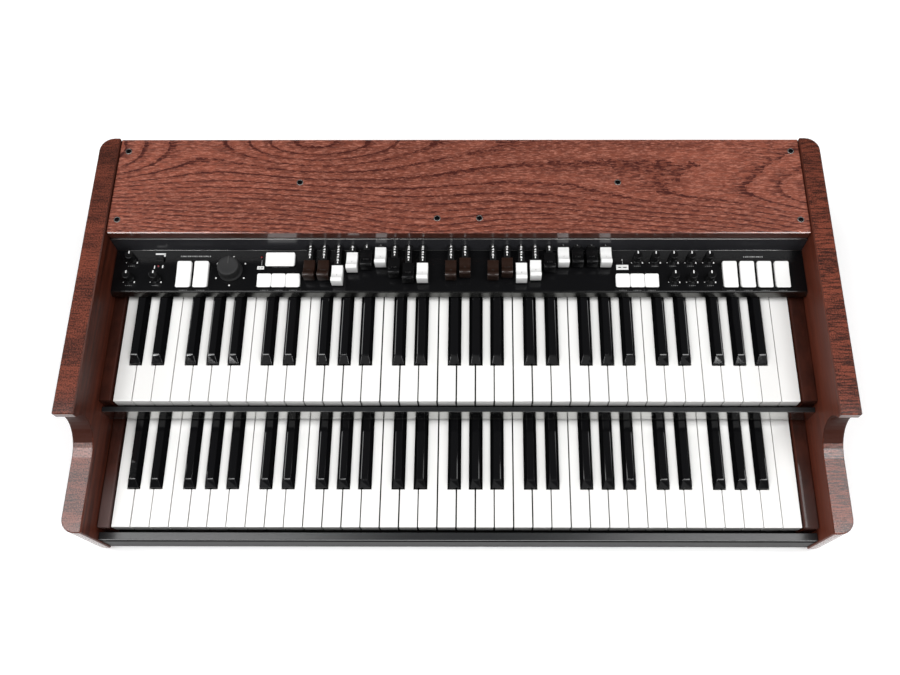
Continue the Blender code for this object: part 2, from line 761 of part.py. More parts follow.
def cap_profile():
    """The cap from the side: a low rear shelf that sweeps up to a crest with a rounded nose."""
    base = CAP_CLEARANCE
    top = base + CAP_HEIGHT
    shelf = base + CAP_SHELF
    crest = math.degrees(math.acos(1 - (top - shelf) / CAP_SWEEP_RADIUS))
    sweep = arc((CAP_SWEEP_START, shelf + CAP_SWEEP_RADIUS), CAP_SWEEP_RADIUS, -90, -90 - crest, 5)
    nose = arc((CAP_NOSE, top - CAP_NOSE), CAP_NOSE, 90, 180, 3)
    rear = [
        (CAP_CHAMFER, base), (CAP_LENGTH, base),
        (CAP_LENGTH, shelf - CAP_CHAMFER), (CAP_LENGTH - CAP_CHAMFER, shelf),
    ]
    return rear + sweep + nose + [(0.0, base + CAP_CHAMFER)]


def drawbar_mesh():
    """One drawbar in the panel's axes: its cap, and the flat rod that runs back through the riser."""
    cap = side_profile("drawbar", cap_profile(), -CAP_WIDTH / 2, CAP_WIDTH / 2)
    tail = CAP_LENGTH + CAP_RISER_GAP + RISER_REACH + DRAWBAR_STOPS * DRAWBAR_STEP + ROD_TAIL
    rod = boxes("rod", [(
        (-ROD_WIDTH / 2, CAP_SWEEP_START, ROD_LIFT),
        (ROD_WIDTH / 2, tail, ROD_LIFT + ROD_THICKNESS),
    )])
    combine(cap, rod, "UNION")
    return cap


def make_drawbars(panel):
    """Three sets of drawbars, each one pulled out to its own setting."""
    colours = {
        "brown": (BROWN_CAP, (0, 1, 9, 10, 11, 12)),
        "black": (BLACK_CAP, (4, 6, 7, 15, 17, 18)),
        "white": (WHITE_CAP, (2, 3, 5, 8, 13, 14, 16, 19)),
    }
    meshes = {}
    for name, (finish, numbers) in colours.items():
        mesh = finished(drawbar_mesh(), "drawbar_" + name, finish)
        meshes.update({number: mesh for number in numbers})
    pushed_in = RISER_UP - CAP_RISER_GAP - CAP_LENGTH
    for number, (x, setting) in enumerate(drawbar_places()):
        up = pushed_in - setting * DRAWBAR_STEP
        place(f"drawbar_{number + 1:02d}", meshes[number], (x, up, 0), panel)


def knob_places():
    """(name, x, up) for every rotary control."""
    back = KNOB_FRONT_ROW + KNOB_ROW_PITCH
    left = -CASE_HALF + LEFT_KNOBS_INSET
    places = [
        ("knob_left_1", left, back),
        ("knob_left_2", left, KNOB_FRONT_ROW),
        ("knob_left_3", left + LEFT_KNOBS_PITCH, KNOB_FRONT_ROW),
    ]
    for i in range(5):
        places.append((f"knob_back_{i + 1}", RIGHT_KNOBS_X + i * KNOB_COLUMN_PITCH, back))
    for i in range(3):
        places.append((f"knob_front_{i + 1}", RIGHT_KNOBS_X + (i + 2) * KNOB_COLUMN_PITCH, KNOB_FRONT_ROW))
    places.append(("selector_knob", SELECTOR_X, SELECTOR_UP))
    return places


def turned(name, profile, steps):
    """A turned solid from (radius, height) points that run down its outer side."""
    shape = bmesh.new()
    points = [shape.verts.new((radius, 0, height)) for radius, height in profile]
    for above, below in zip(points, points[1:]):
        shape.edges.new((above, below))
    mesh = bpy.data.meshes.new(name)
    shape.to_mesh(mesh)
    shape.free()
    made = helper(name, mesh)
    screw = made.modifiers.new("turned", "SCREW")
    screw.steps = steps
    screw.render_steps = steps
    screw.use_merge_vertices = True
    screw.merge_threshold = 1e-5
    return made


def make_knobs(panel):
    """Eleven small knobs that share one mesh, and the large selector."""
    small = turned("small_knob", [
        (0, KNOB_HEIGHT),
        (KNOB_RADIUS - KNOB_TAPER - KNOB_EDGE, KNOB_HEIGHT),
        (KNOB_RADIUS - KNOB_TAPER, KNOB_HEIGHT - KNOB_EDGE),
        (KNOB_RADIUS, FIT),
        (SHAFT_RADIUS, FIT),
        (SHAFT_RADIUS, -SHAFT_DEPTH),
        (0, -SHAFT_DEPTH),
    ], KNOB_SIDES)
    large = turned("large_knob", [
        (0, SELECTOR_HEIGHT),
        (SELECTOR_RADIUS - SELECTOR_EDGE, SELECTOR_HEIGHT),
        (SELECTOR_RADIUS, SELECTOR_HEIGHT - SELECTOR_EDGE),
        (SELECTOR_RADIUS + SELECTOR_TAPER, SELECTOR_SKIRT_HEIGHT),
        (SELECTOR_SKIRT - KNOB_EDGE, SELECTOR_SKIRT_HEIGHT - SELECTOR_EDGE),
        (SELECTOR_SKIRT, FIT),
        (SHAFT_RADIUS, FIT),
        (SHAFT_RADIUS, -SHAFT_DEPTH),
        (0, -SHAFT_DEPTH),
    ], SELECTOR_SIDES)
    small_mesh = finished(small, "small_knob", BLACK_KNOB)
    large_mesh = finished(large, "selector_knob", BLACK_KNOB)
    for name, x, up in knob_places():
        place(name, large_mesh if name == "selector_knob" else small_mesh, (x, up, 0), panel)


def tab_places():
    """(name, x, up, size of one tab, tabs in the row) for every rocker tab."""
    places = []
    for i in range(2):
        places.append((f"tab_left_{i + 1}", TALL_TABS_LEFT_X + i * TALL_TAB_PITCH, TALL_TAB_UP, TALL_TAB, 1))
    for i in range(4):
        x = CASE_HALF - TALL_TABS_RIGHT_INSET - (3 - i) * TALL_TAB_PITCH
        places.append((f"tab_right_{i + 1}", x, TALL_TAB_UP, TALL_TAB, 1))
    places.append(("wide_tab", SMALL_TABS_LEFT_X, WIDE_TAB_UP, WIDE_TAB, 1))
    places.append(("small_tabs_left", SMALL_TABS_LEFT_X, SMALL_TAB_UP, SMALL_TAB, 3))
    places.append(("small_tabs_right", SMALL_TABS_RIGHT_X, SMALL_TAB_UP, SMALL_TAB, 3))
    return places


def tab_mesh(name, size, count):
    """A rocker tab about its pivot: a dished top, and the web that goes down through the panel."""
    width, depth = size
    top = TAB_LIFT + TAB_THICKNESS
    half = depth / 2
    dish = [(half - (2 * half) * i / 6, top - TAB_DISH * math.sin(math.pi * i / 6)) for i in range(7)]
    profile = [(-half, TAB_LIFT), (half, TAB_LIFT)] + dish
    reach = count * width / 2
    tab = side_profile(name, profile, -reach, reach)
    if count > 1:
        combine(tab, tab_seams(name, width, count, half, top), "DIFFERENCE")
    web_half = reach - WEB_DEPTH / 2
    web = boxes(name + "_web", [(
        (-web_half, -WEB_DEPTH / 2, -WEB_DROP),
        (web_half, WEB_DEPTH / 2, TAB_LIFT + TAB_DISH),
    )])
    combine(tab, web, "UNION")
    return finished(tab, name, WHITE_CAP)


def tab_seams(name, width, count, half, top):
    """The narrow grooves that part the tabs of one row."""
    seam = SMALL_TAB_SEAM / 2
    cuts = []
    for i in range(1, count):
        x = (i - count / 2) * width
        low = (x - seam, -half - seam, TAB_LIFT + TAB_THICKNESS / 2)
        cuts.append((low, (x + seam, half + seam, top + seam)))
    return boxes(name + "_seams", cuts)


def make_tabs(panel):
    """The rocker tabs, each tilted about its own pivot at the panel's surface."""
    meshes = {}
    for name, x, up, size, count in tab_places():
        key = (size, count)
        if key not in meshes:
            meshes[key] = tab_mesh(name, size, count)
        made = place(name, meshes[key], (x, up, -PANEL_SHEET / 2), panel)
        made.rotation_euler.x = TAB_TILT


def make_push_button(panel):
    """The small push button in its rectangular hole."""
    half_x = BUTTON_SIZE[0] / 2
    half_y = BUTTON_SIZE[1] / 2
    button = boxes("push_button", [((-half_x, -half_y, -BUTTON_SKIRT), (half_x, half_y, BUTTON_RISE))])
    eased(button, BUTTON_EDGE)
    x, up = BUTTON_PLACE
    place("push_button", finished(button, "push_button", BLACK_KNOB), (x, up, 0), panel)


def make_rear_panel():
    """The rear sheet between pan and board, with the hole that the power inlet fills."""
    rear = SHEET_REAR
    sheet = boxes(
        "rear_panel",
        [((-CASE_HALF, rear - SHEET, PAN_FLOOR + FIT), (CASE_HALF, rear, BOARD_UNDER - FIT))],
    )
    half_x = INLET_WIDTH / 2 + FIT
    half_z = INLET_HEIGHT / 2 + FIT
    hole = boxes("inlet_hole", [(
        (INLET_X - half_x, rear - 2 * SHEET, INLET_Z - half_z),
        (INLET_X + half_x, rear + SHEET, INLET_Z + half_z),
    )])
    combine(sheet, hole, "DIFFERENCE")
    place("rear_panel", finished(sheet, "rear_panel", BLACK_STEEL))


def make_power_inlet():
    """The appliance inlet: a flanged box, open to the rear."""
    rear = SHEET_REAR + FIT
    rim = INLET_FLANGE_RIM
    half_x = INLET_WIDTH / 2
    half_z = INLET_HEIGHT / 2
    body = boxes("power_inlet", [(
        (INLET_X - half_x, rear - INLET_DEPTH, INLET_Z - half_z),
        (INLET_X + half_x, rear + INLET_FLANGE / 2, INLET_Z + half_z),
    )])
    flange = boxes("inlet_flange", [(
        (INLET_X - half_x - rim, rear, INLET_Z - half_z - rim),
        (INLET_X + half_x + rim, rear + INLET_FLANGE, INLET_Z + half_z + rim),
    )])
    pocket = boxes("inlet_pocket", [(
        (INLET_X - half_x + INLET_WALL, rear - INLET_DEPTH + INLET_WALL, INLET_Z - half_z + INLET_WALL),
        (INLET_X + half_x - INLET_WALL, rear + 2 * INLET_FLANGE, INLET_Z + half_z - INLET_WALL),
    )])
    combine(body, flange, "UNION")
    combine(body, pocket, "DIFFERENCE")
    place("power_inlet", finished(body, "power_inlet", BLACK_KNOB))


def make_main_board():
    """The main circuit board on four posts, with its larger parts."""
    foot = PAN_FLOOR + FIT
    under = foot + BOARD_POST_HEIGHT
    top = under + CIRCUIT_THICKNESS
    front = LAST_SPINE_REAR + 4 * SPINE_WIDTH
    low_x = CIRCUIT_X - CIRCUIT_WIDTH / 2
    far_corner = (low_x + CIRCUIT_WIDTH, front + CIRCUIT_DEPTH, top)
    board = boxes("main_board", [((low_x, front, under), far_corner)])
    posts = bmesh.new()
    inset = 2 * SPINE_WIDTH
    for x in (low_x + inset, low_x + CIRCUIT_WIDTH - inset):
        for y in (front + inset, front + CIRCUIT_DEPTH - inset):
            height = BOARD_POST_HEIGHT + CIRCUIT_THICKNESS / 2
            bmesh.ops.create_cone(
                posts, cap_ends=True, segments=8, radius1=BOARD_POST_RADIUS, radius2=BOARD_POST_RADIUS,
                depth=height, matrix=Matrix.Translation((x, y, foot + height / 2)),
            )
    combine(board, helper("posts", mesh_of("posts", posts)), "UNION")
    parts = bmesh.new()
    lap = CIRCUIT_THICKNESS / 2
    for x, y, width, depth, height in CIRCUIT_PARTS:
        corner = Vector((low_x + x - width / 2, front + y - depth / 2, top - lap))
        add_box(parts, corner, corner + Vector((width, depth, height + lap)))
    combine(board, helper("board_parts", mesh_of("board_parts", parts)), "UNION")
    place("main_board", finished(board, "main_board", CIRCUIT_GREEN))


def panel_empty():
    """The empty on the panel's front edge that every control is placed from."""
    empty = bpy.data.objects.new("panel_axes", None)
    empty.matrix_world = PANEL_FRAME
    empty.empty_display_size = 0.05
    ORGAN.objects.link(empty)
    return empty


PANEL_FRAME = Matrix.Translation((0, PANEL_FRONT, PANEL_Z)) @ Matrix.Rotation(PANEL_TILT, 4, "X")
RISER_UP = PANEL_DEPTH / math.cos(PANEL_TILT)
RISER_REACH = RISER_LEAN + 2 * PANEL_SHEET
BUTTON_PLACE = (-CASE_HALF + BUTTON_X_INSET, BUTTON_UP)

clear_scene()
ORGAN = collection("organ")
CUTTERS = collection("cutters", hidden=True)
CHEEK_WOOD = material("cheek_wood", (0.19, 0.062, 0.038), 0.4)
BOARD_WOOD = material("board_wood", (0.36, 0.15, 0.105), 0.42)
IVORY = material("natural_plastic", (0.86, 0.84, 0.79), 0.25)
EBONY = material("sharp_plastic", (0.012, 0.012, 0.014), 0.22)
BLACK_PANEL = material("panel_paint", (0.014, 0.015, 0.017), 0.45)
GREY_STEEL = material("rail_paint", (0.075, 0.078, 0.082), 0.4, 0.3)
BLACK_STEEL = material("pan_paint", (0.10, 0.10, 0.105), 0.45, 0.3)
BLACK_KNOB = material("knob_plastic", (0.012, 0.012, 0.013), 0.3)
WHITE_CAP = material("white_plastic", (0.85, 0.85, 0.83), 0.3)
BROWN_CAP = material("brown_plastic", (0.085, 0.038, 0.026), 0.35)
BLACK_CAP = material("black_plastic", (0.013, 0.013, 0.014), 0.35)
CIRCUIT_GREEN = material("circuit_green", (0.02, 0.12, 0.06), 0.5)

PANEL_AXES = panel_empty()
make_cheeks()
make_key_blocks()
make_top_board()
make_bottom_pan()
make_slip_rail()
make_keybed_frame()
make_manuals()
make_control_panel()
make_drawbars(PANEL_AXES)
make_knobs(PANEL_AXES)
make_tabs(PANEL_AXES)
make_push_button(PANEL_AXES)
make_rear_panel()
make_power_inlet()
make_main_board()
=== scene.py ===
"""Dresses the two-manual drawbar organ: woods, paints, plastics, printed marks, lamps and studio.

Laid out as a Blender add-on and run as a script. Metres, +Z up, the player sits at -Y.
"""

import json
import math

import bmesh
import bpy
from mathutils import Matrix, Vector


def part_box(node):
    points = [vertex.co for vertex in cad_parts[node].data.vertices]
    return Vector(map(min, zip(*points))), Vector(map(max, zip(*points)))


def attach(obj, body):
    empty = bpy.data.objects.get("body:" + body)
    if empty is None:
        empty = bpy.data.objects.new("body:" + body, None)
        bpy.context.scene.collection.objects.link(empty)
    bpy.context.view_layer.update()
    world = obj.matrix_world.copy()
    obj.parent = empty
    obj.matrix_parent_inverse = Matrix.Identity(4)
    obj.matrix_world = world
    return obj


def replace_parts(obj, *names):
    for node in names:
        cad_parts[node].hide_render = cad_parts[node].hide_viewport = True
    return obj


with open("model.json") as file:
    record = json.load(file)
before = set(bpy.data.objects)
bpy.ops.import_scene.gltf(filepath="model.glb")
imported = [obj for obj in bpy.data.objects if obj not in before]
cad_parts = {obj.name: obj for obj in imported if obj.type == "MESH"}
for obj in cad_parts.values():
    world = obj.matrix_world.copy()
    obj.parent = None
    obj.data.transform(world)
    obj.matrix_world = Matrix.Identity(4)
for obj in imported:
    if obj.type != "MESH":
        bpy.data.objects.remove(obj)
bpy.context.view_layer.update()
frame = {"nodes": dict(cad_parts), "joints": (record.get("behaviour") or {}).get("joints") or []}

bl_info = {
    "name": "Drawbar organ finishes",
    "version": (1, 0, 0),
    "blender": (4, 5, 0),
    "location": "3D View > Sidebar > Organ",
    "description": "Finishes, printed marks and studio for a two-manual drawbar organ",
    "category": "Object",
}

# The panel's deck, as the model has it
PANEL_FRONT = 0.0498
PANEL_Z = 0.1376
JOINTS = {joint["child"]: joint for joint in frame["joints"]}
PANEL_NORMAL = Vector(JOINTS["selector_knob"]["axis"])
PANEL_TILT = math.atan2(-PANEL_NORMAL.y, PANEL_NORMAL.z)
PANEL = Matrix.Translation((0, PANEL_FRONT, PANEL_Z)) @ Matrix.Rotation(PANEL_TILT, 4, "X")
RISER_UP = 0.0595

# Drawbars
DRAWBARS = [f"drawbar_{i:02d}" for i in range(1, 21)]
STEP = 0.0037
CAP_LENGTH = 0.024
CAP_WIDTH = 0.0141
CAP_BASE = 0.003
CAP_HEIGHT = 0.015
CAP_SHELF = 0.0102
CAP_SWEEP_START = 0.0144
CAP_SWEEP_RADIUS = 0.012
CAP_NOSE = 0.0022
CAP_RISER_GAP = 0.0024
ROD_WIDTH = 0.008
ROD_LIFT = 0.009
ROD_THICKNESS = 0.0035
ROD_TAIL = 0.0468
BROWN_CAPS = (0, 1, 9, 10, 11, 12)
BLACK_CAPS = (4, 6, 7, 15, 17, 18)
FOOTAGES = (
    "16", "5 1/3", "8", "4", "2 2/3", "2", "1 3/5", "1 1/3", "1", "16", "8",
    "16", "5 1/3", "8", "4", "2 2/3", "2", "1 3/5", "1 1/3", "1",
)

# Knobs and tabs
KNOBS = [f"knob_left_{i}" for i in (1, 2, 3)] + [f"knob_back_{i}" for i in (1, 2, 3, 4, 5)]
KNOBS += [f"knob_front_{i}" for i in (1, 2, 3)]
TAB_TILT = math.radians(4)
TAB_LIFT = 0.0026
TAB_THICKNESS = 0.0052
TAB_DISH = 0.0009
TAB_UNDERCUT = 0.0032
TALL = (0.0187, 0.0372, 1)
SMALL = (0.0183, 0.0198, 3)
WIDE = (0.0378, 0.0204, 1)
TABS = {
    "tab_left_1": TALL, "tab_left_2": TALL, "tab_right_1": TALL, "tab_right_2": TALL,
    "tab_right_3": TALL, "tab_right_4": TALL, "wide_tab": WIDE,
    "small_tabs_left": SMALL, "small_tabs_right": SMALL,
}
BOARD_SCREWS = (
    (-0.4306, 0.2322), (0.4306, 0.2322), (-0.4309, 0.1309), (0.4309, 0.1309),
    (-0.2037, 0.1852), (0.2037, 0.1852), (-0.0266, 0.1329), (0.0266, 0.1329),
)

# Swells in the board's grain: middle (x, y), reach (x, y), rings
BOARD_FIGURES = (
    (-0.40, 0.22, 0.35, 0.064, 12.0), (-0.34, 0.23, 0.18, 0.06, -10.0),
    (-0.34, 0.11, 0.165, 0.035, 3.2), (-0.055, 0.09, 0.115, 0.06, 4.6),
    (-0.205, 0.245, 0.10, 0.032, 3.3), (-0.08, 0.215, 0.20, 0.038, -2.1),
    (0.285, 0.16, 0.15, 0.03, 1.9), (0.34, 0.25, 0.19, 0.022, 1.4),
    (0.49, 0.165, 0.105, 0.065, 3.6),
)


class Value:
    """One socket of a material, on which Python's operators add Math nodes."""

    def __init__(self, finish, socket):
        self.finish = finish
        self.socket = socket

    def maths(self, operation, *others):
        inputs = dict(enumerate((self, *others)))
        return self.finish.node("ShaderNodeMath", {"operation": operation}, inputs)

    def __add__(self, other):
        return self.maths("ADD", other)

    def __sub__(self, other):
        return self.maths("SUBTRACT", other)

    def __mul__(self, other):
        return self.maths("MULTIPLY", other)

    def __truediv__(self, other):
        return self.maths("DIVIDE", other)

    def __pow__(self, other):
        return self.maths("POWER", other)

    def __gt__(self, other):
        return self.maths("GREATER_THAN", other)

    def __lt__(self, other):
        return self.maths("LESS_THAN", other)

    def __abs__(self):
        return self.maths("ABSOLUTE")

    def __neg__(self):
        return self.maths("MULTIPLY", -1.0)

    def __rsub__(self, other):
        return self.finish.node("ShaderNodeMath", {"operation": "SUBTRACT"}, {0: other, 1: self})

    __radd__ = __add__
    __rmul__ = __mul__

    def fraction(self):
        return self.maths("FRACT")

    def exponential(self):
        return self.maths("EXPONENT")

    def sine(self):
        return self.maths("SINE")

    def between(self, low, high):
        """Rises smoothly from 0 at low to 1 at high."""
        inputs = {0: self, 1: low, 2: high, 3: 0.0, 4: 1.0}
        return self.finish.node("ShaderNodeMapRange", {"interpolation_type": "SMOOTHSTEP"}, inputs)


class Finish:
    """A material under construction."""

    def __init__(self, name, **constants):
        self.material = bpy.data.materials.new(name)
        self.material.use_nodes = True
        self.tree = self.material.node_tree
        self.shader = self.tree.nodes["Principled BSDF"]
        self.coordinates = None
        for socket, value in constants.items():
            self.shader.inputs[socket.replace("_", " ").title()].default_value = value

    def node(self, kind, settings=None, inputs=None, output=0):
        """Any node: its settings first, then its sockets' values or links."""
        made = self.tree.nodes.new(kind)
        for key, value in (settings or {}).items():
            if key == "stops":
                self.set_stops(made.color_ramp, value)
            else:
                setattr(made, key, value)
        for key, value in (inputs or {}).items():
            self.feed(made.inputs[key], value)
        return Value(self, made.outputs[output])

    @staticmethod
    def set_stops(ramp, stops):
        for element, (position, shade) in zip(ramp.elements, stops):
            element.position = position
            element.color = (*shade, 1.0)
        for position, shade in stops[2:]:
            ramp.elements.new(position).color = (*shade, 1.0)

    def feed(self, socket, value):
        if isinstance(value, Value):
            self.tree.links.new(value.socket, socket)
        elif socket.type == "RGBA":
            socket.default_value = (*value[:3], 1.0)
        else:
            socket.default_value = value

    def set(self, **sockets):
        """Feeds sockets of the shader, named in lower case with underscores."""
        for name, value in sockets.items():
            self.feed(self.shader.inputs[name.replace("_", " ").title()], value)
        return self.material

    def place(self):
        """The point in the piece's own axes, as a vector."""
        if self.coordinates is None:
            self.coordinates = self.tree.nodes.new("ShaderNodeTexCoord")
        return Value(self, self.coordinates.outputs["Object"])

    def facing(self):
        """The surface's direction in the piece's own axes, as three values."""
        self.place()
        normal = Value(self, self.coordinates.outputs["Normal"])
        return [self.node("ShaderNodeSeparateXYZ", {}, {0: normal}, i) for i in range(3)]

    def axes(self):
        """The point as three values."""
        point = self.place()
        return [self.node("ShaderNodeSeparateXYZ", {}, {0: point}, i) for i in range(3)]

    def vector(self, x, y, z):
        return self.node("ShaderNodeCombineXYZ", {}, {0: x, 1: y, 2: z})

    def noise(self, vector, scale=1.0, detail=2.0, roughness=0.5):
        inputs = {"Vector": vector, "Scale": scale, "Detail": detail, "Roughness": roughness}
        return self.node("ShaderNodeTexNoise", {}, inputs)

    def blend(self, factor, first, second, mode="MIX"):
        """A colour mixed from two."""
        settings = {"data_type": "RGBA", "blend_type": mode}
        return self.node("ShaderNodeMix", settings, {0: factor, 6: first, 7: second}, 2)

    def bump(self, height, strength, distance):
        inputs = {"Height": height, "Strength": strength, "Distance": distance}
        return self.node("ShaderNodeBump", {}, inputs)


def shade(colour, factor):
    """A darker or lighter version of a colour."""
    return tuple(min(1.0, part * factor) for part in colour[:3])


def board_wood(colour):
    """Open-grained wood: long rings, ovals at the rear left, nested points at the right, dark pores."""
    finish = Finish("board_wood", coat_weight=0.9, coat_roughness=0.1)
    finish.shader.inputs["Specular IOR Level"].default_value = 0.25
    x, y, z = finish.axes()
    deep = y - 0.185
    rings = deep * 74 - deep * deep * 600 + x * 4.8 - x * deep * 117 + z * 90
    for centre_x, centre_y, reach_x, reach_y, height in BOARD_FIGURES:
        across = (x - centre_x) / reach_x
        along = (y - centre_y) / reach_y
        rings = rings + (-(across * across + along * along)).exponential() * height
    ripple = finish.noise(finish.vector(x * 150, y * 110, z * 110), 1.0, 2.0, 0.65)
    rings = rings + ripple * 0.38 + 0.2
    tooth = rings.fraction()
    soft = tooth.between(0.25, 0.95)
    line = tooth.between(0.78, 0.88) * (1 - tooth.between(0.95, 1.0))
    second = (rings * 2.0 + 0.4 + ripple * 0.5).fraction()
    second = second.between(0.45, 0.75) * (1 - second.between(0.8, 1.0))
    dashes = finish.noise(finish.vector(x * 110, y * 560, z * 560), 1.0, 2.0, 0.6).between(0.42, 0.6)
    cloud = finish.noise(finish.vector(x * 6.0, y * 20.0, z * 20.0), 1.0, 4.0, 0.65)
    strength = finish.noise(finish.vector(x * 9.0, y * 40.0, z * 40.0), 1.0, 2.0, 0.5).between(0.3, 0.62)
    # painted glints: small light flecks, blended into the wood's colour below
    sparks = finish.noise(finish.vector(x * 170, y * 760, z * 760), 1.0, 2.0, 0.6).between(0.46, 0.66)
    faint = 1 - x.between(0.02, 0.12) * y.between(0.16, 0.19) * 0.55
    dark = soft * soft * 0.22 + line * (0.16 + strength * 0.38) * faint + second * 0.14 + dashes * (0.4 + soft * 0.26)
    ends = abs(x).between(0.1, 0.42)
    front = finish.facing()[1].between(-0.95, -0.8)
    light = finish.blend(ends, shade(colour, 0.9), shade(colour, 1.12))
    tone = finish.blend(cloud.between(0.3, 0.7) * 0.4, light, shade(colour, 0.45))
    # painted glints laid into the colour
    tone = finish.blend(sparks * 0.6, tone, (0.5, 0.2, 0.14))
    tone = finish.blend(dark, tone, (0.05, 0.007, 0.004))
    # painted shade: the board's front face is given a flat tone at a quarter of the wood's colour, as the front mask
    # is 0 there
    tone = finish.blend(front, shade(colour, 0.25), tone)
    relief = finish.bump(1 - dark, 0.2, 0.0003)
    return finish.set(base_color=tone, roughness=0.4 + dashes * 0.1, normal=relief)


def cheek_wood(name, colour, block_sheen=0.0):
    """Darker varnished wood: cross figure on the narrow faces, lengthwise grain on the sides.

    block_sheen is how strongly a grey sheen, a painted reflection, is laid on towards the front; any amount also
    gives lengthwise grain on every face.
    """
    finish = Finish(name, coat_roughness=0.1)
    finish.shader.inputs["Specular IOR Level"].default_value = 0.15
    x, y, z = finish.axes()
    side = abs(finish.facing()[0]).between(0.55, 0.75)
    run = y - z * 0.9
    bands = finish.noise(finish.vector(x * 9.0, run * 26.0, 0.0), 1.0, 4.0, 0.62)
    lines = finish.noise(finish.vector(x * 40.0, run * 420.0, 0.0), 1.0, 3.0, 0.6)
    weave = finish.noise(finish.vector(x * 620.0, run * 560.0, 0.0), 1.0, 2.0, 0.55).between(0.34, 0.64)
    right = x > 0
    across = bands.between(0.34, 0.66) * 0.3 + lines.between(0.42, 0.56) * (0.16 + right * 0.24) + weave * 0.4
    across = across - right * 0.12
    across = across.between(0.08, 0.92)
    grain = finish.noise(finish.vector(x * 30.0, y * 5.0, z * 150.0), 1.0, 4.0, 0.65)
    fleck = finish.noise(finish.vector(x * 60.0, y * 46.0, z * 620.0), 1.0, 2.0, 0.6)
    along = (grain.between(0.28, 0.74) * 0.7 + fleck.between(0.35, 0.7) * 0.3) * 0.5
    share = along if block_sheen else across * (1 - side) + along * side
    scoop = (-finish.facing()[1]).between(0.3, 0.5) * (z > 0.1108) * (z < 0.1712)
    tone = finish.blend(share, shade(colour, 0.2), shade(colour, 1.75))
    # painted light: the inner face of the right cheek is blended towards a lighter tone
    tone = finish.blend(side * right * (x < 0.4435) * 0.25, tone, shade(colour, 2.2))
    # painted shade: the scoop rising from the arm to the cheek's top is darkened
    tone = finish.blend(scoop, tone, shade(colour, 0.35))
    # painted shade: the wood is darkened towards the rear
    tone = finish.blend(y.between(0.08, 0.22) * 0.3, tone, shade(colour, 0.2))
    # painted reflection: a grey sheen is laid on the key blocks towards the front
    tone = finish.blend((-y).between(0.15, 0.215) * (z > 0.06) * (1 - right * 0.7) * block_sheen, tone, (0.15, 0.1, 0.094))
    relief = finish.bump(share, 0.1, 0.0002)
    varnish = (0.6 + weave * 0.4) * (1 - side * 0.95) * (1 - scoop * 0.9)
    return finish.set(base_color=tone, roughness=0.45 + share * 0.1, coat_weight=varnish, normal=relief)


def painted(name, colour, roughness, grain, metallic=0.0):
    """Satin paint on steel with a faint orange peel."""
    finish = Finish(name, metallic=metallic)
    peel = finish.noise(finish.place(), grain, 2.0, 0.5)
    cloud = finish.noise(finish.place(), 9.0, 3.0, 0.5)
    tone = finish.blend(cloud, shade(colour, 0.88), shade(colour, 1.12))
    relief = finish.bump(peel, 0.1, 0.0002)
    return finish.set(base_color=tone, roughness=roughness + cloud * 0.06, normal=relief)


def panel_paint(colour):
    """Black satin paint, with painted light making it greyer on the riser behind the controls."""
    finish = Finish("panel_paint")
    finish.shader.inputs["Specular IOR Level"].default_value = 0.3
    x, y, z = finish.axes()
    riser = (-finish.facing()[1]).between(0.6, 0.9) * (z > 0.1385)
    peel = finish.noise(finish.place(), 1500.0, 2.0, 0.5)
    cloud = finish.noise(finish.place(), 9.0, 3.0, 0.5)
    tone = finish.blend(cloud, shade(colour, 0.88), shade(colour, 1.12))
    lip = (-finish.facing()[1]).between(0.25, 0.5) * (z < 0.138)
    # painted light: the riser's front face is given a lighter tone than the deck
    tone = finish.blend(riser, tone, shade(colour, 7.0))
    tone = finish.blend(lip, tone, (0.14, 0.14, 0.135))
    relief = finish.bump(peel, 0.1, 0.0002)
    return finish.set(base_color=tone, roughness=0.15 + cloud * 0.06, metallic=lip, normal=relief)


def rail_paint(colour):
    """Black paint, rubbed to a metallic sheen on the face between the manuals, with painted shade in the gap below.
    """
    finish = Finish("rail_paint")
    x, y, z = finish.axes()
    face = (-finish.facing()[1]).between(0.7, 0.95) * z.between(0.075, 0.08)
    seam_shade = z < 0.0524
    peel = finish.noise(finish.place(), 1300.0, 2.0, 0.5)
    cloud = finish.noise(finish.place(), 9.0, 3.0, 0.5)
    tone = finish.blend(cloud, shade(colour, 0.88), shade(colour, 1.12))
    # painted shade: everything below the slip rail's top plate is darkened, as a shadow gap
    tone = finish.blend(seam_shade, tone, shade(colour, 0.1))
    tone = finish.blend(face, tone, (0.42, 0.42, 0.41))
    relief = finish.bump(peel, 0.1, 0.0002)
    return finish.set(base_color=tone, roughness=0.2 + cloud * 0.06 - face * 0.08, metallic=face, normal=relief)


def pan_paint(colour, rubber):
    """The pan's paint, with the black rubber of its feet below the floor of the pan, and a painted shadow band under
    the slip rail.
    """
    finish = Finish("pan_paint")
    finish.shader.inputs["Specular IOR Level"].default_value = 0.06
    x, y, z = finish.axes()
    foot = z < 0.0098
    peel = finish.noise(finish.place(), 1400.0, 2.0, 0.5)
    cloud = finish.noise(finish.place(), 8.0, 3.0, 0.5)
    paint = finish.blend(cloud, shade(colour, 0.9), shade(colour, 1.1))
    tone = finish.blend(foot, paint, rubber)
    # painted shadow: a dark band across the front wall under the slip rail
    seam_shade = z.between(0.042, 0.0435) * (y < 0)
    tone = finish.blend(seam_shade, tone, shade(colour, 0.05))
    relief = finish.bump(peel, 0.1, 0.0002)
    return finish.set(base_color=tone, roughness=0.42 + foot * 0.38 + seam_shade * 0.5, normal=relief)


def moulded(name, colour, roughness, grain=600.0, wear=0.05, gloss=0.5):
    """Moulded plastic with slight clouding and a fine surface."""
    finish = Finish(name)
    finish.shader.inputs["Specular IOR Level"].default_value = gloss
    cloud = finish.noise(finish.place(), 22.0, 3.0, 0.6)
    fine = finish.noise(finish.place(), grain, 2.0, 0.5)
    tone = finish.blend(cloud, shade(colour, 1.0 - wear), shade(colour, 1.0 + wear))
    relief = finish.bump(fine, 0.06, 0.0001)
    return finish.set(base_color=tone, roughness=roughness + cloud * 0.05, normal=relief)


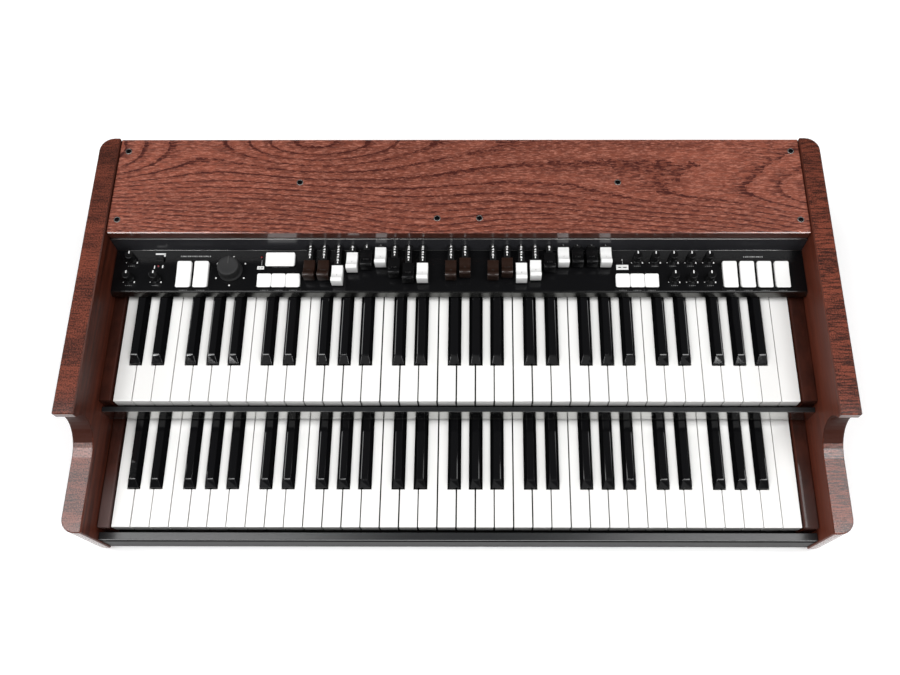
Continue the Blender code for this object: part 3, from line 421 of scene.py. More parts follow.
def ivory(colour):
    """Warm white plastic, with painted shade on the flanks down in the gaps, strongest in the middle of the keyboard,
    and on the lower keys' fronts.
    """
    finish = Finish("natural_plastic", roughness=0.2)
    cloud = finish.noise(finish.place(), 22.0, 3.0, 0.6)
    x, y, z = finish.axes()
    nx, ny, nz = finish.facing()
    # painted shade: the key flanks are darkened down in the gaps, most in the middle of the keyboard and hardly at
    # its ends
    middle_shade = 1 - abs(x).between(0.03, 0.27) * 0.97
    flank = abs(nx).between(0.1, 0.4) * middle_shade
    # painted shade: the fronts of the lower keys are darkened
    front = (-ny).between(0.6, 0.9) * (z < 0.08) * 0.66
    tone = finish.blend(cloud, shade(colour, 0.985), shade(colour, 1.01))
    tone = finish.blend(front, tone, shade(colour, 0.3))
    tone = finish.blend(flank, tone, shade(colour, 0.02))
    return finish.set(base_color=tone)


def ebony(colour):
    """Black moulded plastic, polished on top and duller down the flanks."""
    finish = Finish("sharp_plastic", coat_roughness=0.06)
    finish.shader.inputs["Specular IOR Level"].default_value = 0.0
    x, y, z = finish.axes()
    fine = finish.noise(finish.place(), 500.0, 2.0, 0.5)
    flank = abs(finish.facing()[0]).between(0.6, 0.95)
    unplayed = y.between(-0.117, -0.113) * (z < 0.08)
    tone = finish.blend(fine, shade(colour, 0.8), shade(colour, 1.2))
    return finish.set(base_color=tone, roughness=0.4, coat_weight=(1 - flank) * (1 - unplayed * 0.9), normal=finish.bump(fine, 0.03, 0.0001))


def circuit_green():
    """A lacquered circuit board with its tracks, and darker parts above it."""
    finish = Finish("circuit_green")
    x, y, z = finish.axes()
    tracks = finish.node("ShaderNodeTexBrick", {}, {"Vector": finish.place(), "Scale": 240.0}, 1)
    parts = z > 0.0225
    tone = finish.blend(tracks, (0.015, 0.13, 0.06), (0.05, 0.24, 0.11))
    tone = finish.blend(parts, tone, (0.02, 0.02, 0.022))
    return finish.set(base_color=tone, roughness=0.35 + parts * 0.2)


def lamp_red(power):
    """The lit red lens of an indicator lamp."""
    finish = Finish("lamp_red", roughness=0.2, emission_strength=power)
    x, y, z = finish.axes()
    core = 1 - (x * x + y * y).between(0.0, 0.0000016)
    glow = finish.blend(core, (0.25, 0.004, 0.004), (1.0, 0.09, 0.05))
    return finish.set(base_color=(0.16, 0.02, 0.03), emission_color=glow)


def bright_metal(name, colour, roughness):
    """Plated metal with fine turning marks."""
    finish = Finish(name, metallic=1.0)
    marks = finish.noise(finish.place(), 2600.0, 2.0, 0.5)
    tone = finish.blend(marks, shade(colour, 0.85), shade(colour, 1.1))
    return finish.set(base_color=tone, roughness=roughness + marks * 0.12)


FINISHES = {}


def finish_of(name):
    if name not in FINISHES:
        raise RuntimeError(f"the finish {name} isn't made yet: run the finishes operator first")
    return FINISHES[name]


def dress(node, finish):
    """Gives a node of the model its finish."""
    mesh = frame["nodes"][node].data
    mesh.materials.clear()
    mesh.materials.append(finish_of(finish))


def soften(node, width, angle=40):
    """Rounds the edges of a node of the model a little, as light shows on the real edges."""
    thing = frame["nodes"][node]
    weld = thing.modifiers.new("joined points", "WELD")
    weld.merge_threshold = 0.00001
    bevel = thing.modifiers.new("eased edges", "BEVEL")
    bevel.width = width
    bevel.segments = 2
    bevel.limit_method = "ANGLE"
    bevel.angle_limit = math.radians(angle)
    bevel.use_clamp_overlap = True
    bevel.harden_normals = True


def piece(name, mesh, finishes, body, matrix=None):
    """A new piece in its place, riding on a body."""
    made = bpy.data.objects.new(name, mesh)
    bpy.context.scene.collection.objects.link(made)
    if not mesh.materials:
        for finish in finishes:
            mesh.materials.append(finish_of(finish))
    made.matrix_world = matrix or Matrix.Identity(4)
    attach(made, body)
    return made


def mesh_of(name, shape, angle=32):
    """Turns a bmesh into a smooth mesh with its sharp edges kept."""
    bmesh.ops.recalc_face_normals(shape, faces=shape.faces)
    mesh = bpy.data.meshes.new(name)
    shape.to_mesh(mesh)
    shape.free()
    mesh.shade_smooth()
    mesh.set_sharp_from_angle(angle=math.radians(angle))
    return mesh


def add_box(shape, low, high):
    low = Vector(low)
    size = Vector(high) - low
    place = Matrix.Translation(low + size / 2) @ Matrix.Diagonal((*size, 1.0))
    return bmesh.ops.create_cube(shape, size=1.0, matrix=place)["verts"]


def round_edges(shape, width, segments=2, angle=35):
    """Bevels every edge that turns by more than an angle."""
    sharp = [
        edge for edge in shape.edges
        if len(edge.link_faces) == 2 and edge.calc_face_angle() > math.radians(angle)
    ]
    bmesh.ops.bevel(
        shape, geom=sharp, offset=width, segments=segments, profile=0.5, affect="EDGES", clamp_overlap=True,
    )


def arc(centre, radius, start, end, steps):
    angles = [math.radians(start + (end - start) * i / steps) for i in range(steps + 1)]
    return [(centre[0] + radius * math.cos(a), centre[1] + radius * math.sin(a)) for a in angles]


def turned(shape, profile, sides, matrix=None, ribs=None):
    """Adds a turned solid from (radius, height) points; ribs is (first, last, count, depth) of its fluted points."""
    matrix = matrix or Matrix.Identity(4)
    rings = []
    for number, (radius, height) in enumerate(profile):
        ring = []
        for i in range(sides):
            angle = 2 * math.pi * i / sides
            reach = radius
            if ribs and ribs[0] <= number <= ribs[1]:
                reach -= ribs[3] * (0.5 - 0.5 * math.cos(angle * ribs[2])) ** 2
            point = Vector((reach * math.cos(angle), reach * math.sin(angle), height))
            ring.append(shape.verts.new(matrix @ point))
        rings.append(ring)
    for above, below in zip(rings, rings[1:]):
        for i in range(sides):
            j = (i + 1) % sides
            shape.faces.new((above[i], below[i], below[j], above[j]))
    shape.faces.new(rings[0])
    shape.faces.new(rings[-1][::-1])


def words_mesh(text, height, weight=0.0):
    """A flat mesh of a short text, centred on its origin, facing +Z; weight thickens its strokes."""
    curve = bpy.data.curves.new("words", "FONT")
    curve.body = text
    curve.size = height
    curve.offset = weight
    curve.align_x = "CENTER"
    curve.align_y = "CENTER"
    curve.resolution_u = 2
    drawn = bpy.data.objects.new("words", curve)
    bpy.context.scene.collection.objects.link(drawn)
    bpy.context.view_layer.update()
    mesh = bpy.data.meshes.new_from_object(drawn.evaluated_get(bpy.context.evaluated_depsgraph_get()))
    bpy.data.objects.remove(drawn, do_unlink=True)
    bpy.data.curves.remove(curve)
    return mesh


def add_mesh(shape, mesh, matrix, slot=0):
    """Adds a mesh to a bmesh in its place, on a material slot."""
    before = set(shape.faces)
    mesh.transform(matrix)
    shape.from_mesh(mesh)
    for face in shape.faces:
        if face not in before:
            face.material_index = slot
    mesh.transform(matrix.inverted())


class OrganWoods(bpy.types.PropertyGroup):
    """Colours of the case's woods."""

    board: bpy.props.FloatVectorProperty(
        name="Board", description="Wood of the board behind the controls",
        subtype="COLOR", size=3, default=(0.244, 0.067, 0.040), min=0, max=1,
    )
    cheek: bpy.props.FloatVectorProperty(
        name="Cheeks", description="Wood of the cheeks and key blocks",
        subtype="COLOR", size=3, default=(0.118, 0.027, 0.014), min=0, max=1,
    )
    edge: bpy.props.FloatProperty(
        name="Edge", description="Rounding of the wooden edges",
        subtype="DISTANCE", unit="LENGTH", default=0.0006, min=0,
    )


class OrganPaints(bpy.types.PropertyGroup):
    """Colours of the metalwork, plastics and print."""

    panel: bpy.props.FloatVectorProperty(
        name="Panel", description="Black paint of the control panel",
        subtype="COLOR", size=3, default=(0.004, 0.004, 0.0045), min=0, max=1,
    )
    rail: bpy.props.FloatVectorProperty(
        name="Rails", description="Grey paint of the rails before the keys",
        subtype="COLOR", size=3, default=(0.014, 0.015, 0.016), min=0, max=1,
    )
    pan: bpy.props.FloatVectorProperty(
        name="Pan", description="Paint of the bottom pan and rear panel",
        subtype="COLOR", size=3, default=(0.022, 0.022, 0.0226), min=0, max=1,
    )
    natural: bpy.props.FloatVectorProperty(
        name="Naturals", description="Plastic of the natural keys",
        subtype="COLOR", size=3, default=(0.82, 0.816, 0.80), min=0, max=1,
    )
    sharp: bpy.props.FloatVectorProperty(
        name="Sharps", description="Plastic of the sharps",
        subtype="COLOR", size=3, default=(0.004, 0.004, 0.0045), min=0, max=1,
    )
    white: bpy.props.FloatVectorProperty(
        name="White controls", description="Plastic of the tabs and white caps",
        subtype="COLOR", size=3, default=(0.83, 0.83, 0.82), min=0, max=1,
    )
    brown: bpy.props.FloatVectorProperty(
        name="Brown caps", description="Plastic of the brown drawbar caps",
        subtype="COLOR", size=3, default=(0.018, 0.008, 0.005), min=0, max=1,
    )
    black: bpy.props.FloatVectorProperty(
        name="Black controls", description="Plastic of the knobs and black caps",
        subtype="COLOR", size=3, default=(0.004, 0.004, 0.0043), min=0, max=1,
    )
    print_white: bpy.props.FloatVectorProperty(
        name="Print", description="Ink of the printed marks",
        subtype="COLOR", size=3, default=(0.75, 0.75, 0.74), min=0, max=1,
    )


class OrganStudio(bpy.types.PropertyGroup):
    """Lights, floor and camera."""

    softbox_power: bpy.props.FloatProperty(
        name="Softbox", description="Power of each of the two overhead softboxes",
        unit="POWER", default=45.0, min=0,
    )
    fill_power: bpy.props.FloatProperty(
        name="Fill", description="Power of the front fill light",
        unit="POWER", default=7.0, min=0,
    )
    surround: bpy.props.FloatProperty(
        name="Surround", description="Brightness of the studio's walls",
        default=0.06, min=0,
    )
    lens: bpy.props.FloatProperty(
        name="Lens", description="Focal length of the camera",
        subtype="DISTANCE_CAMERA", default=37.743, min=1,
    )


class ORGAN_OT_finishes(bpy.types.Operator):
    """Makes every finish of the organ"""

    bl_idname = "organ.finishes"
    bl_label = "Finishes"

    def execute(self, context):
        woods = context.scene.organ_woods
        paints = context.scene.organ_paints
        FINISHES.clear()
        FINISHES.update({
            "board_wood": board_wood(woods.board),
            "cheek_wood": cheek_wood("cheek_wood", woods.cheek),
            "block_wood": cheek_wood("block_wood", shade(woods.cheek, 0.6), 0.7),
            "panel_paint": panel_paint(paints.panel),
            "rail_paint": rail_paint(paints.rail),
            "pan_paint": pan_paint(paints.pan, (0.012, 0.012, 0.012)),
            "natural_plastic": ivory(paints.natural),
            "sharp_plastic": ebony(paints.sharp),
            "white_plastic": moulded("white_plastic", paints.white, 0.24, 500.0, 0.01),
            "brown_plastic": moulded("brown_plastic", paints.brown, 0.26),
            "black_plastic": moulded("black_plastic", paints.black, 0.24, gloss=0.2),
            "knob_plastic": moulded("knob_plastic", paints.black, 0.22, 900.0, gloss=0.3),
            "dial_plastic": moulded("dial_plastic", (0.008, 0.008, 0.0085), 0.6, 900.0),
            "circuit_green": circuit_green(),
            "print_white": moulded("print_white", paints.print_white, 0.5),
            "print_grey": moulded("print_grey", shade(paints.print_white, 0.42), 0.5),
            "print_faint": moulded("print_faint", shade(paints.print_white, 0.16), 0.5),
            "screw_ring": bright_metal("screw_ring", (0.2, 0.19, 0.18), 0.35),
            "print_dim": moulded("print_dim", shade(paints.print_white, 0.06), 0.5),
            "rod_black": moulded("rod_black", paints.black, 0.4, gloss=0.1),
            "lamp_red": lamp_red(0.12),
            "plated": bright_metal("plated", (0.62, 0.61, 0.59), 0.28),
            "edge_metal": bright_metal("edge_metal", (0.3, 0.29, 0.28), 0.3),
            "blackened": bright_metal("blackened", (0.012, 0.012, 0.013), 0.34),
        })
        return {"FINISHED"}


class ORGAN_OT_case(bpy.types.Operator):
    """Finishes the wooden case and the metalwork"""

    bl_idname = "organ.case"
    bl_label = "Case and metalwork"

    def execute(self, context):
        dress("top_board", "board_wood")
        for side in ("left", "right"):
            dress(side + "_cheek", "cheek_wood")
            dress(side + "_key_block", "block_wood")
        dress("control_panel", "panel_paint")
        for node in ("keybed_frame", "slip_rail"):
            dress(node, "rail_paint")
            soften(node, 0.0006)
        for node in ("bottom_pan", "rear_panel"):
            dress(node, "pan_paint")
        dress("main_board", "circuit_green")
        self.riser_edge()
        dress("power_inlet", "knob_plastic")
        return {"FINISHED"}

    def riser_edge(self):
        """A thin grey metal strip where the panel's riser meets the board, put there as a painted highlight along the
        riser's bent top edge.
        """
        low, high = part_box("control_panel")
        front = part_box("top_board")[0][1]
        shape = bmesh.new()
        add_box(shape, (low[0] + 0.001, front - 0.0012, high[2] - 0.0011), (high[0] - 0.001, front - 0.0004, high[2] + 0.0001))
        round_edges(shape, 0.0003, 2)
        piece("riser_edge", mesh_of("riser_edge", shape), ("edge_metal",), "case")


class ORGAN_OT_keys(bpy.types.Operator):
    """Finishes both manuals"""

    bl_idname = "organ.keys"
    bl_label = "Keys"

    def execute(self, context):
        for manual in ("upper", "lower"):
            for notes in ("naturals_cegb", "naturals_dfa"):
                dress(f"{manual}_{notes}", "natural_plastic")
                soften(f"{manual}_{notes}", 0.0009)
            dress(f"{manual}_sharps", "sharp_plastic")
            soften(f"{manual}_sharps", 0.0011)
        return {"FINISHED"}


def screw_mesh(with_washer):
    """A countersunk screw with a cross recess, and the ring that it sits in."""
    shape = bmesh.new()
    sides, rings, radius = 40, 12, 0.0031
    grid = []
    for i in range(rings + 1):
        reach = radius * i / rings
        row = []
        for j in range(sides):
            angle = 2 * math.pi * j / sides
            x, y = reach * math.cos(angle), reach * math.sin(angle)
            recess = min(abs(x), abs(y)) < 0.0004 and reach < 0.0019
            height = 0.0008 - 0.0006 * recess - 0.0004 * max(0.0, i / rings - 0.85) / 0.15
            row.append(shape.verts.new((x, y, height)) if i else None)
        grid.append(row)
    middle = shape.verts.new((0, 0, 0.0002))
    for j in range(sides):
        k = (j + 1) % sides
        shape.faces.new((middle, grid[1][j], grid[1][k]))
        for i in range(1, rings):
            shape.faces.new((grid[i][j], grid[i + 1][j], grid[i + 1][k], grid[i][k]))
    if with_washer:
        before = set(shape.faces)
        ring = [(0.0031, 0.0002), (0.0034, 0.0004), (0.0040, 0.0003), (0.0043, 0.0)]
        loops = []
        for reach, height in ring:
            angles = [2 * math.pi * j / sides for j in range(sides)]
            loops.append([shape.verts.new((reach * math.cos(a), reach * math.sin(a), height)) for a in angles])
        for inner, outer in zip(loops, loops[1:]):
            for j in range(sides):
                k = (j + 1) % sides
                shape.faces.new((inner[j], outer[j], outer[k], inner[k]))
        for face in shape.faces:
            if face not in before:
                face.material_index = 1
    mesh = mesh_of("screw", shape, 50)
    mesh.materials.append(finish_of("blackened"))
    mesh.materials.append(finish_of("screw_ring"))
    return mesh


class ORGAN_OT_screws(bpy.types.Operator):
    """Adds the screws of the top board, the rear panel and the bottom pan"""

    bl_idname = "organ.screws"
    bl_label = "Screws"

    def execute(self, context):
        ringed = screw_mesh(True)
        plain = screw_mesh(False)
        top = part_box("top_board")[1][2]
        for i, (x, y) in enumerate(BOARD_SCREWS):
            spot = Matrix.Translation((x, y, top)) @ Matrix.Rotation(0.7 * i, 4, "Z")
            piece(f"board_screw_{i + 1}", ringed, (), "case", spot)
        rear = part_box("rear_panel")[1][1]
        turn = Matrix.Rotation(-math.pi / 2, 4, "X")
        for i, (x, z) in enumerate((x, z) for x in (-0.43, -0.215, 0.0, 0.215, 0.43) for z in (0.022, 0.155)):
            spot = Matrix.Translation((x, rear, z)) @ turn @ Matrix.Rotation(0.5 * i, 4, "Z")
            piece(f"rear_screw_{i + 1}", plain, (), "case", spot)
        flip = Matrix.Rotation(math.pi, 4, "X")
        for i, (x, y) in enumerate((x, y) for x in (-0.42, -0.14, 0.14, 0.42) for y in (-0.13, 0.13)):
            spot = Matrix.Translation((x, y, 0.010)) @ flip @ Matrix.Rotation(0.4 * i, 4, "Z")
            piece(f"pan_screw_{i + 1}", plain, (), "case", spot)
        return {"FINISHED"}


def cap_profile(steps):
    """(y, z) points of a drawbar cap from the side, and its upper run alone."""
    top = CAP_BASE + CAP_HEIGHT
    shelf = CAP_BASE + CAP_SHELF
    crest = math.degrees(math.acos(1 - (top - shelf) / CAP_SWEEP_RADIUS))
    sweep = arc((CAP_SWEEP_START, shelf + CAP_SWEEP_RADIUS), CAP_SWEEP_RADIUS, -90, -90 - crest, steps)
    nose = arc((CAP_NOSE, top - CAP_NOSE), CAP_NOSE, 90, 180, steps // 2)
    upper = [(CAP_LENGTH, shelf)] + sweep + nose
    return [(0.0, CAP_BASE), (CAP_LENGTH, CAP_BASE)] + upper, upper


def height_on(run, y):
    """The height of a falling run of points at a depth."""
    for (y0, z0), (y1, z1) in zip(run, run[1:]):
        if min(y0, y1) <= y <= max(y0, y1) and y0 != y1:
            return z0 + (z1 - z0) * (y - y0) / (y1 - y0)
    return run[0][1]


def cap_mesh(finish, footage, ink):
    """One drawbar cap with softly rounded edges and its pitch figure."""
    outline, upper = cap_profile(10)
    shape = bmesh.new()
    sides = []
    for x in (-CAP_WIDTH / 2, CAP_WIDTH / 2):
        sides.append([shape.verts.new((x, y, z)) for y, z in outline])
    shape.faces.new(sides[0])
    shape.faces.new(sides[1][::-1])
    for i in range(len(outline)):
        j = (i + 1) % len(outline)
        shape.faces.new((sides[0][i], sides[1][i], sides[1][j], sides[0][j]))
    bmesh.ops.recalc_face_normals(shape, faces=shape.faces)
    round_edges(shape, 0.0005, 2)
    marks = words_mesh(footage, 0.0034)
    for vertex in marks.vertices:
        y = vertex.co.y + 0.0098
        vertex.co = (vertex.co.x, y, height_on(upper, y) + 0.00006)
    add_mesh(shape, marks, Matrix.Identity(4), 1)
    mesh = mesh_of("drawbar_cap", shape)
    mesh.materials.append(finish_of(finish))
    mesh.materials.append(finish_of(ink))
    return mesh


def rod_mesh():
    """The flat rod behind the cap, with the figures that show how far it is pulled."""
    shape = bmesh.new()
    half = ROD_WIDTH / 2
    tail = CAP_LENGTH + ROD_TAIL + CAP_RISER_GAP
    top = ROD_LIFT + ROD_THICKNESS
    add_box(shape, (-half, CAP_LENGTH - 0.002, ROD_LIFT), (half, tail, top))
    round_edges(shape, 0.0003, 2)
    for step in range(1, 9):
        y = CAP_LENGTH + CAP_RISER_GAP + (step - 0.5) * STEP
        spot = Matrix.Translation((0, y, top + 0.00006)) @ Matrix.Diagonal((1.5, 1, 1, 1))
        add_mesh(shape, words_mesh(str(step), 0.0031, 0.0003), spot, 1)
    mesh = mesh_of("drawbar_rod", shape)
    mesh.materials.append(finish_of("rod_black"))
    mesh.materials.append(finish_of("print_white"))
    return mesh


class ORGAN_OT_drawbars(bpy.types.Operator):
    """Replaces the twenty drawbars with finished caps and figured rods"""

    bl_idname = "organ.drawbars"
    bl_label = "Drawbars"

    def execute(self, context):
        rod = rod_mesh()
        for i, node in enumerate(DRAWBARS):
            low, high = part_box(node)
            setting = round(-JOINTS[node]["range_m"][0] / STEP)
            up = RISER_UP - CAP_RISER_GAP - CAP_LENGTH - setting * STEP
            spot = PANEL @ Matrix.Translation(((low[0] + high[0]) / 2, up, 0))
            if i in BROWN_CAPS:
                finish, ink = "brown_plastic", "print_dim"
            elif i in BLACK_CAPS:
                finish, ink = "black_plastic", "print_dim"
            else:
                finish, ink = "white_plastic", "print_grey"
            cap = piece(f"cap_{i + 1:02d}", cap_mesh(finish, FOOTAGES[i], ink), (), node, spot)
            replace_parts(cap, node)
            piece(f"rod_{i + 1:02d}", rod, (), node, spot)
        return {"FINISHED"}


def knob_mesh(radius, height, skirt, ribs, finishes):
    """A fluted knob with a dished top, a pointer line, and its shaft below."""
    shape = bmesh.new()
    sides = ribs * 6
    profile = [(radius * 0.62, height - 0.0003), (radius * 0.8, height), (radius * 0.93, height - 0.0002)]
    profile += [(radius, height - 0.0011), (radius + 0.0002, skirt[1] + 0.0008), (radius + 0.0002, skirt[1])]
    if skirt[0] > radius + 0.0003:
        profile += [(skirt[0] - 0.0012, skirt[1] - 0.0004), (skirt[0], skirt[1] - 0.0016)]
    profile += [(max(skirt[0], radius + 0.0002), 0.0004), (0.0030, 0.0003), (0.0030, -0.008)]
    turned(shape, profile, sides, ribs=(3, 4, ribs, radius * 0.09))
    pointer = [
        (radius * 0.2, height + 0.0001), (radius * 0.84, height + 0.0003),
        (radius * 0.99, height - 0.0007), (radius + 0.0003, height - 0.0030),
    ]
    half = 0.0007
    left = [shape.verts.new((-half, y, z + 0.00005)) for y, z in pointer]
    right = [shape.verts.new((half, y, z + 0.00005)) for y, z in pointer]
    before = set(shape.faces)
    for i in range(len(pointer) - 1):
        shape.faces.new((left[i], right[i], right[i + 1], left[i + 1]))
    for face in shape.faces:
        if face not in before:
            face.material_index = 1
    mesh = mesh_of("knob", shape, 38)
    for finish in finishes:
        mesh.materials.append(finish_of(finish))
    return mesh


class ORGAN_OT_knobs(bpy.types.Operator):
    """Replaces the rotary knobs with fluted ones that have pointers"""

    bl_idname = "organ.knobs"
    bl_label = "Knobs"

    def execute(self, context):
        small = knob_mesh(0.0056, 0.0138, (0.0060, 0.0030), 18, ("knob_plastic", "print_white"))
        large = knob_mesh(0.0140, 0.0162, (0.0155, 0.0045), 36, ("dial_plastic", "print_dim"))
        for node in KNOBS + ["selector_knob"]:
            mesh = large if node == "selector_knob" else small
            spot = Matrix.Translation(JOINTS[node]["pos_m"]) @ Matrix.Rotation(PANEL_TILT, 4, "X")
            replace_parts(piece(node + "_turned", mesh, (), node, spot), node)
        return {"FINISHED"}


def rocker_mesh(width, depth, count):
    """One or more rocker tabs side by side: rounded corners, a dished top, and the web below."""
    shape = bmesh.new()
    top = TAB_LIFT + TAB_THICKNESS
    for i in range(count):
        left = (i - count / 2) * width + 0.0002
        tab = bmesh.new()
        add_box(tab, (left, -depth / 2, TAB_LIFT), (left + width - 0.0004, depth / 2, top))
        upright = [e for e in tab.edges if abs(e.verts[0].co.z - e.verts[1].co.z) > 0.001]
        bmesh.ops.bevel(tab, geom=upright, offset=0.0021, segments=5, profile=0.5, affect="EDGES")
        rim = [e for e in tab.edges if all(v.co.z > top - 1e-6 for v in e.verts)]
        bmesh.ops.bevel(tab, geom=rim, offset=0.0008, segments=3, profile=0.5, affect="EDGES")
        for step in range(1, 16):
            everything = tab.verts[:] + tab.edges[:] + tab.faces[:]
            level = -depth / 2 + depth * step / 16
            bmesh.ops.bisect_plane(tab, geom=everything, plane_co=(0, level, 0), plane_no=(0, 1, 0))
        for vertex in tab.verts:
            share = (vertex.co.z - TAB_LIFT) / TAB_THICKNESS
            if share > 0.6:
                vertex.co.z -= TAB_DISH * math.cos(math.pi * vertex.co.y / depth) * share
            if vertex.co.y < TAB_UNDERCUT - depth / 2:
                vertex.co.y += TAB_UNDERCUT * (1.0 - 0.75 * share)
        made = bpy.data.meshes.new("tab")
        tab.to_mesh(made)
        tab.free()
        shape.from_mesh(made)
        bpy.data.meshes.remove(made)
    reach = count * width / 2 - 0.004
    add_box(shape, (-reach, -0.004, -0.006), (reach, 0.004, TAB_LIFT + 0.0005))
    mesh = mesh_of("rocker", shape, 36)
    mesh.materials.append(finish_of("white_plastic"))
    return mesh


class ORGAN_OT_tabs(bpy.types.Operator):
    """Replaces the rocker tabs with rounded, dished ones and finishes the push button"""

    bl_idname = "organ.tabs"
    bl_label = "Tabs and push button"

    def execute(self, context):
        meshes = {}
        for node, size in TABS.items():
            if size not in meshes:
                meshes[size] = rocker_mesh(*size)
            spot = Matrix.Translation(JOINTS[node]["pos_m"]) @ Matrix.Rotation(PANEL_TILT + TAB_TILT, 4, "X")
            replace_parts(piece(node + "_rocker", meshes[size], (), node, spot), node)
        dress("push_button", "knob_plastic")
        return {"FINISHED"}


def printed(name, strokes, finish="print_white"):
    """Thin slips on the panel, each given as (x, up, width, depth): marks of print, and the push button's painted
    highlight.
    """
    shape = bmesh.new()
    for x, up, width, depth in strokes:
        add_box(shape, (x - width / 2, up - depth / 2, 0.0), (x + width / 2, up + depth / 2, 0.00008))
    return piece(name, mesh_of(name, shape), (finish,), "case", PANEL)


def lettered(x, up, width, depth):
    """A row of short strokes that reads as a line of print from afar."""
    count = max(2, round(width / 0.0023))
    pitch = width / count
    return [(x - width / 2 + (i + 0.5) * pitch, up, pitch * (0.4 + 0.2 * (i % 3)), depth) for i in range(count)]


def up_of(node):
    """How far up the panel's slope a control's joint stands."""
    return (PANEL.inverted() @ Vector(JOINTS[node]["pos_m"])).y


class ORGAN_OT_marks(bpy.types.Operator):
    """Prints plain marks beside the controls, paints the push button's highlight on the panel and adds the indicator
    lamps
    """

    bl_idname = "organ.marks"
    bl_label = "Marks and lamps"

    def execute(self, context):
        legends = []
        dots = []
        for node in KNOBS:
            x = JOINTS[node]["pos_m"][0]
            up = up_of(node)
            legends += lettered(x, up - 0.0098, 0.0095, 0.0009)
            dots += [(x - 0.0070, up - 0.0050, 0.0009, 0.0010), (x + 0.0070, up - 0.0050, 0.0014, 0.0022)]
        for node, (width, depth, count) in TABS.items():
            x = JOINTS[node]["pos_m"][0]
            front = up_of(node) - depth / 2 + 0.0020
            up = front if front > 0.012 else 0.0022
            for i in range(count):
                legends += lettered(x + (i - (count - 1) / 2) * width, up, width * 0.6, 0.0010)
        left = (JOINTS["tab_left_1"]["pos_m"][0] + JOINTS["tab_left_2"]["pos_m"][0]) / 2
        right = (JOINTS["tab_right_2"]["pos_m"][0] + JOINTS["tab_right_3"]["pos_m"][0]) / 2
        headings = lettered(left, 0.0505, 0.0400, 0.0018) + lettered(right, 0.0498, 0.0260, 0.0018)
        printed("headings", headings, "print_grey")
        printed("legends", legends, "print_faint")
        printed("scale_ends", dots)
        self.selector_scale()
        printed("lamp_plates", [(-0.2541, 0.0340, 0.0088, 0.0046), (0.2097, 0.0348, 0.0155, 0.0070)])
        printed("lamp_plate_marks", [
            (-0.2560, 0.0340, 0.0018, 0.0010), (-0.2525, 0.0340, 0.0028, 0.0010),
            (0.2064, 0.0348, 0.0040, 0.0012), (0.2129, 0.0348, 0.0050, 0.0012),
        ], "panel_paint")
        printed("lamp_lines", [(-0.2532, 0.0410, 0.0005, 0.0080), (0.2103, 0.0412, 0.0005, 0.0050)], "print_grey")
        printed("button_marks", [
            (-0.3907, 0.0350, 0.0013, 0.0044), (-0.3803, 0.0358, 0.0016, 0.0040),
            # the two slips below are not print: they lay the push button's rim highlight flat on the panel, a painted
            # highlight
            (-0.3850, 0.0538, 0.0130, 0.0022), (-0.3796, 0.0518, 0.0022, 0.0034),
        ])
        for i, (x, up) in enumerate(((-0.3858, 0.0362), (-0.2540, 0.0490), (0.2098, 0.0452))):
            self.lamp(f"lamp_{i + 1}", x, up, lit=i < 2)
        return {"FINISHED"}

    def selector_scale(self):
        """Dots round the selector: a pair at the rear and single ones at the other positions."""
        centre = Vector(JOINTS["selector_knob"]["pos_m"])
        flat = PANEL.inverted() @ centre
        shape = bmesh.new()
        dots = [(84, 0.0008), (96, 0.0008)] + [(angle, 0.0011) for angle in (30, 150, 210, 270, 330)]
        for angle, radius in dots:
            x = flat.x + 0.0205 * math.cos(math.radians(angle))
            up = flat.y + 0.0205 * math.sin(math.radians(angle))
            spot = Matrix.Translation((x, up, 0.00004))
            bmesh.ops.create_cone(
                shape, cap_ends=True, segments=20, radius1=radius, radius2=radius, depth=0.00008, matrix=spot,
            )
        piece("selector_scale", mesh_of("selector_scale", shape), ("print_white",), "case", PANEL)

    def lamp(self, name, x, up, lit):
        """A domed lens in a dark collar."""
        spot = PANEL @ Matrix.Translation((x, up, 0))
        shape = bmesh.new()
        dome = arc((0, 0), 0.0012, 80, 0, 6)
        turned(shape, [(max(r, 0.0001), h + 0.0002) for r, h in dome] + [(0.0012, -0.0005)], 24)
        finish = "lamp_red" if lit else "print_grey"
        piece(name, mesh_of(name, shape), (finish,), "case", spot)
        ring = bmesh.new()
        turned(ring, [(0.0012, 0.0001), (0.0015, 0.0006), (0.0019, 0.0005), (0.0021, 0.0)], 24)
        piece(name + "_collar", mesh_of(name, ring), ("knob_plastic",), "case", spot)


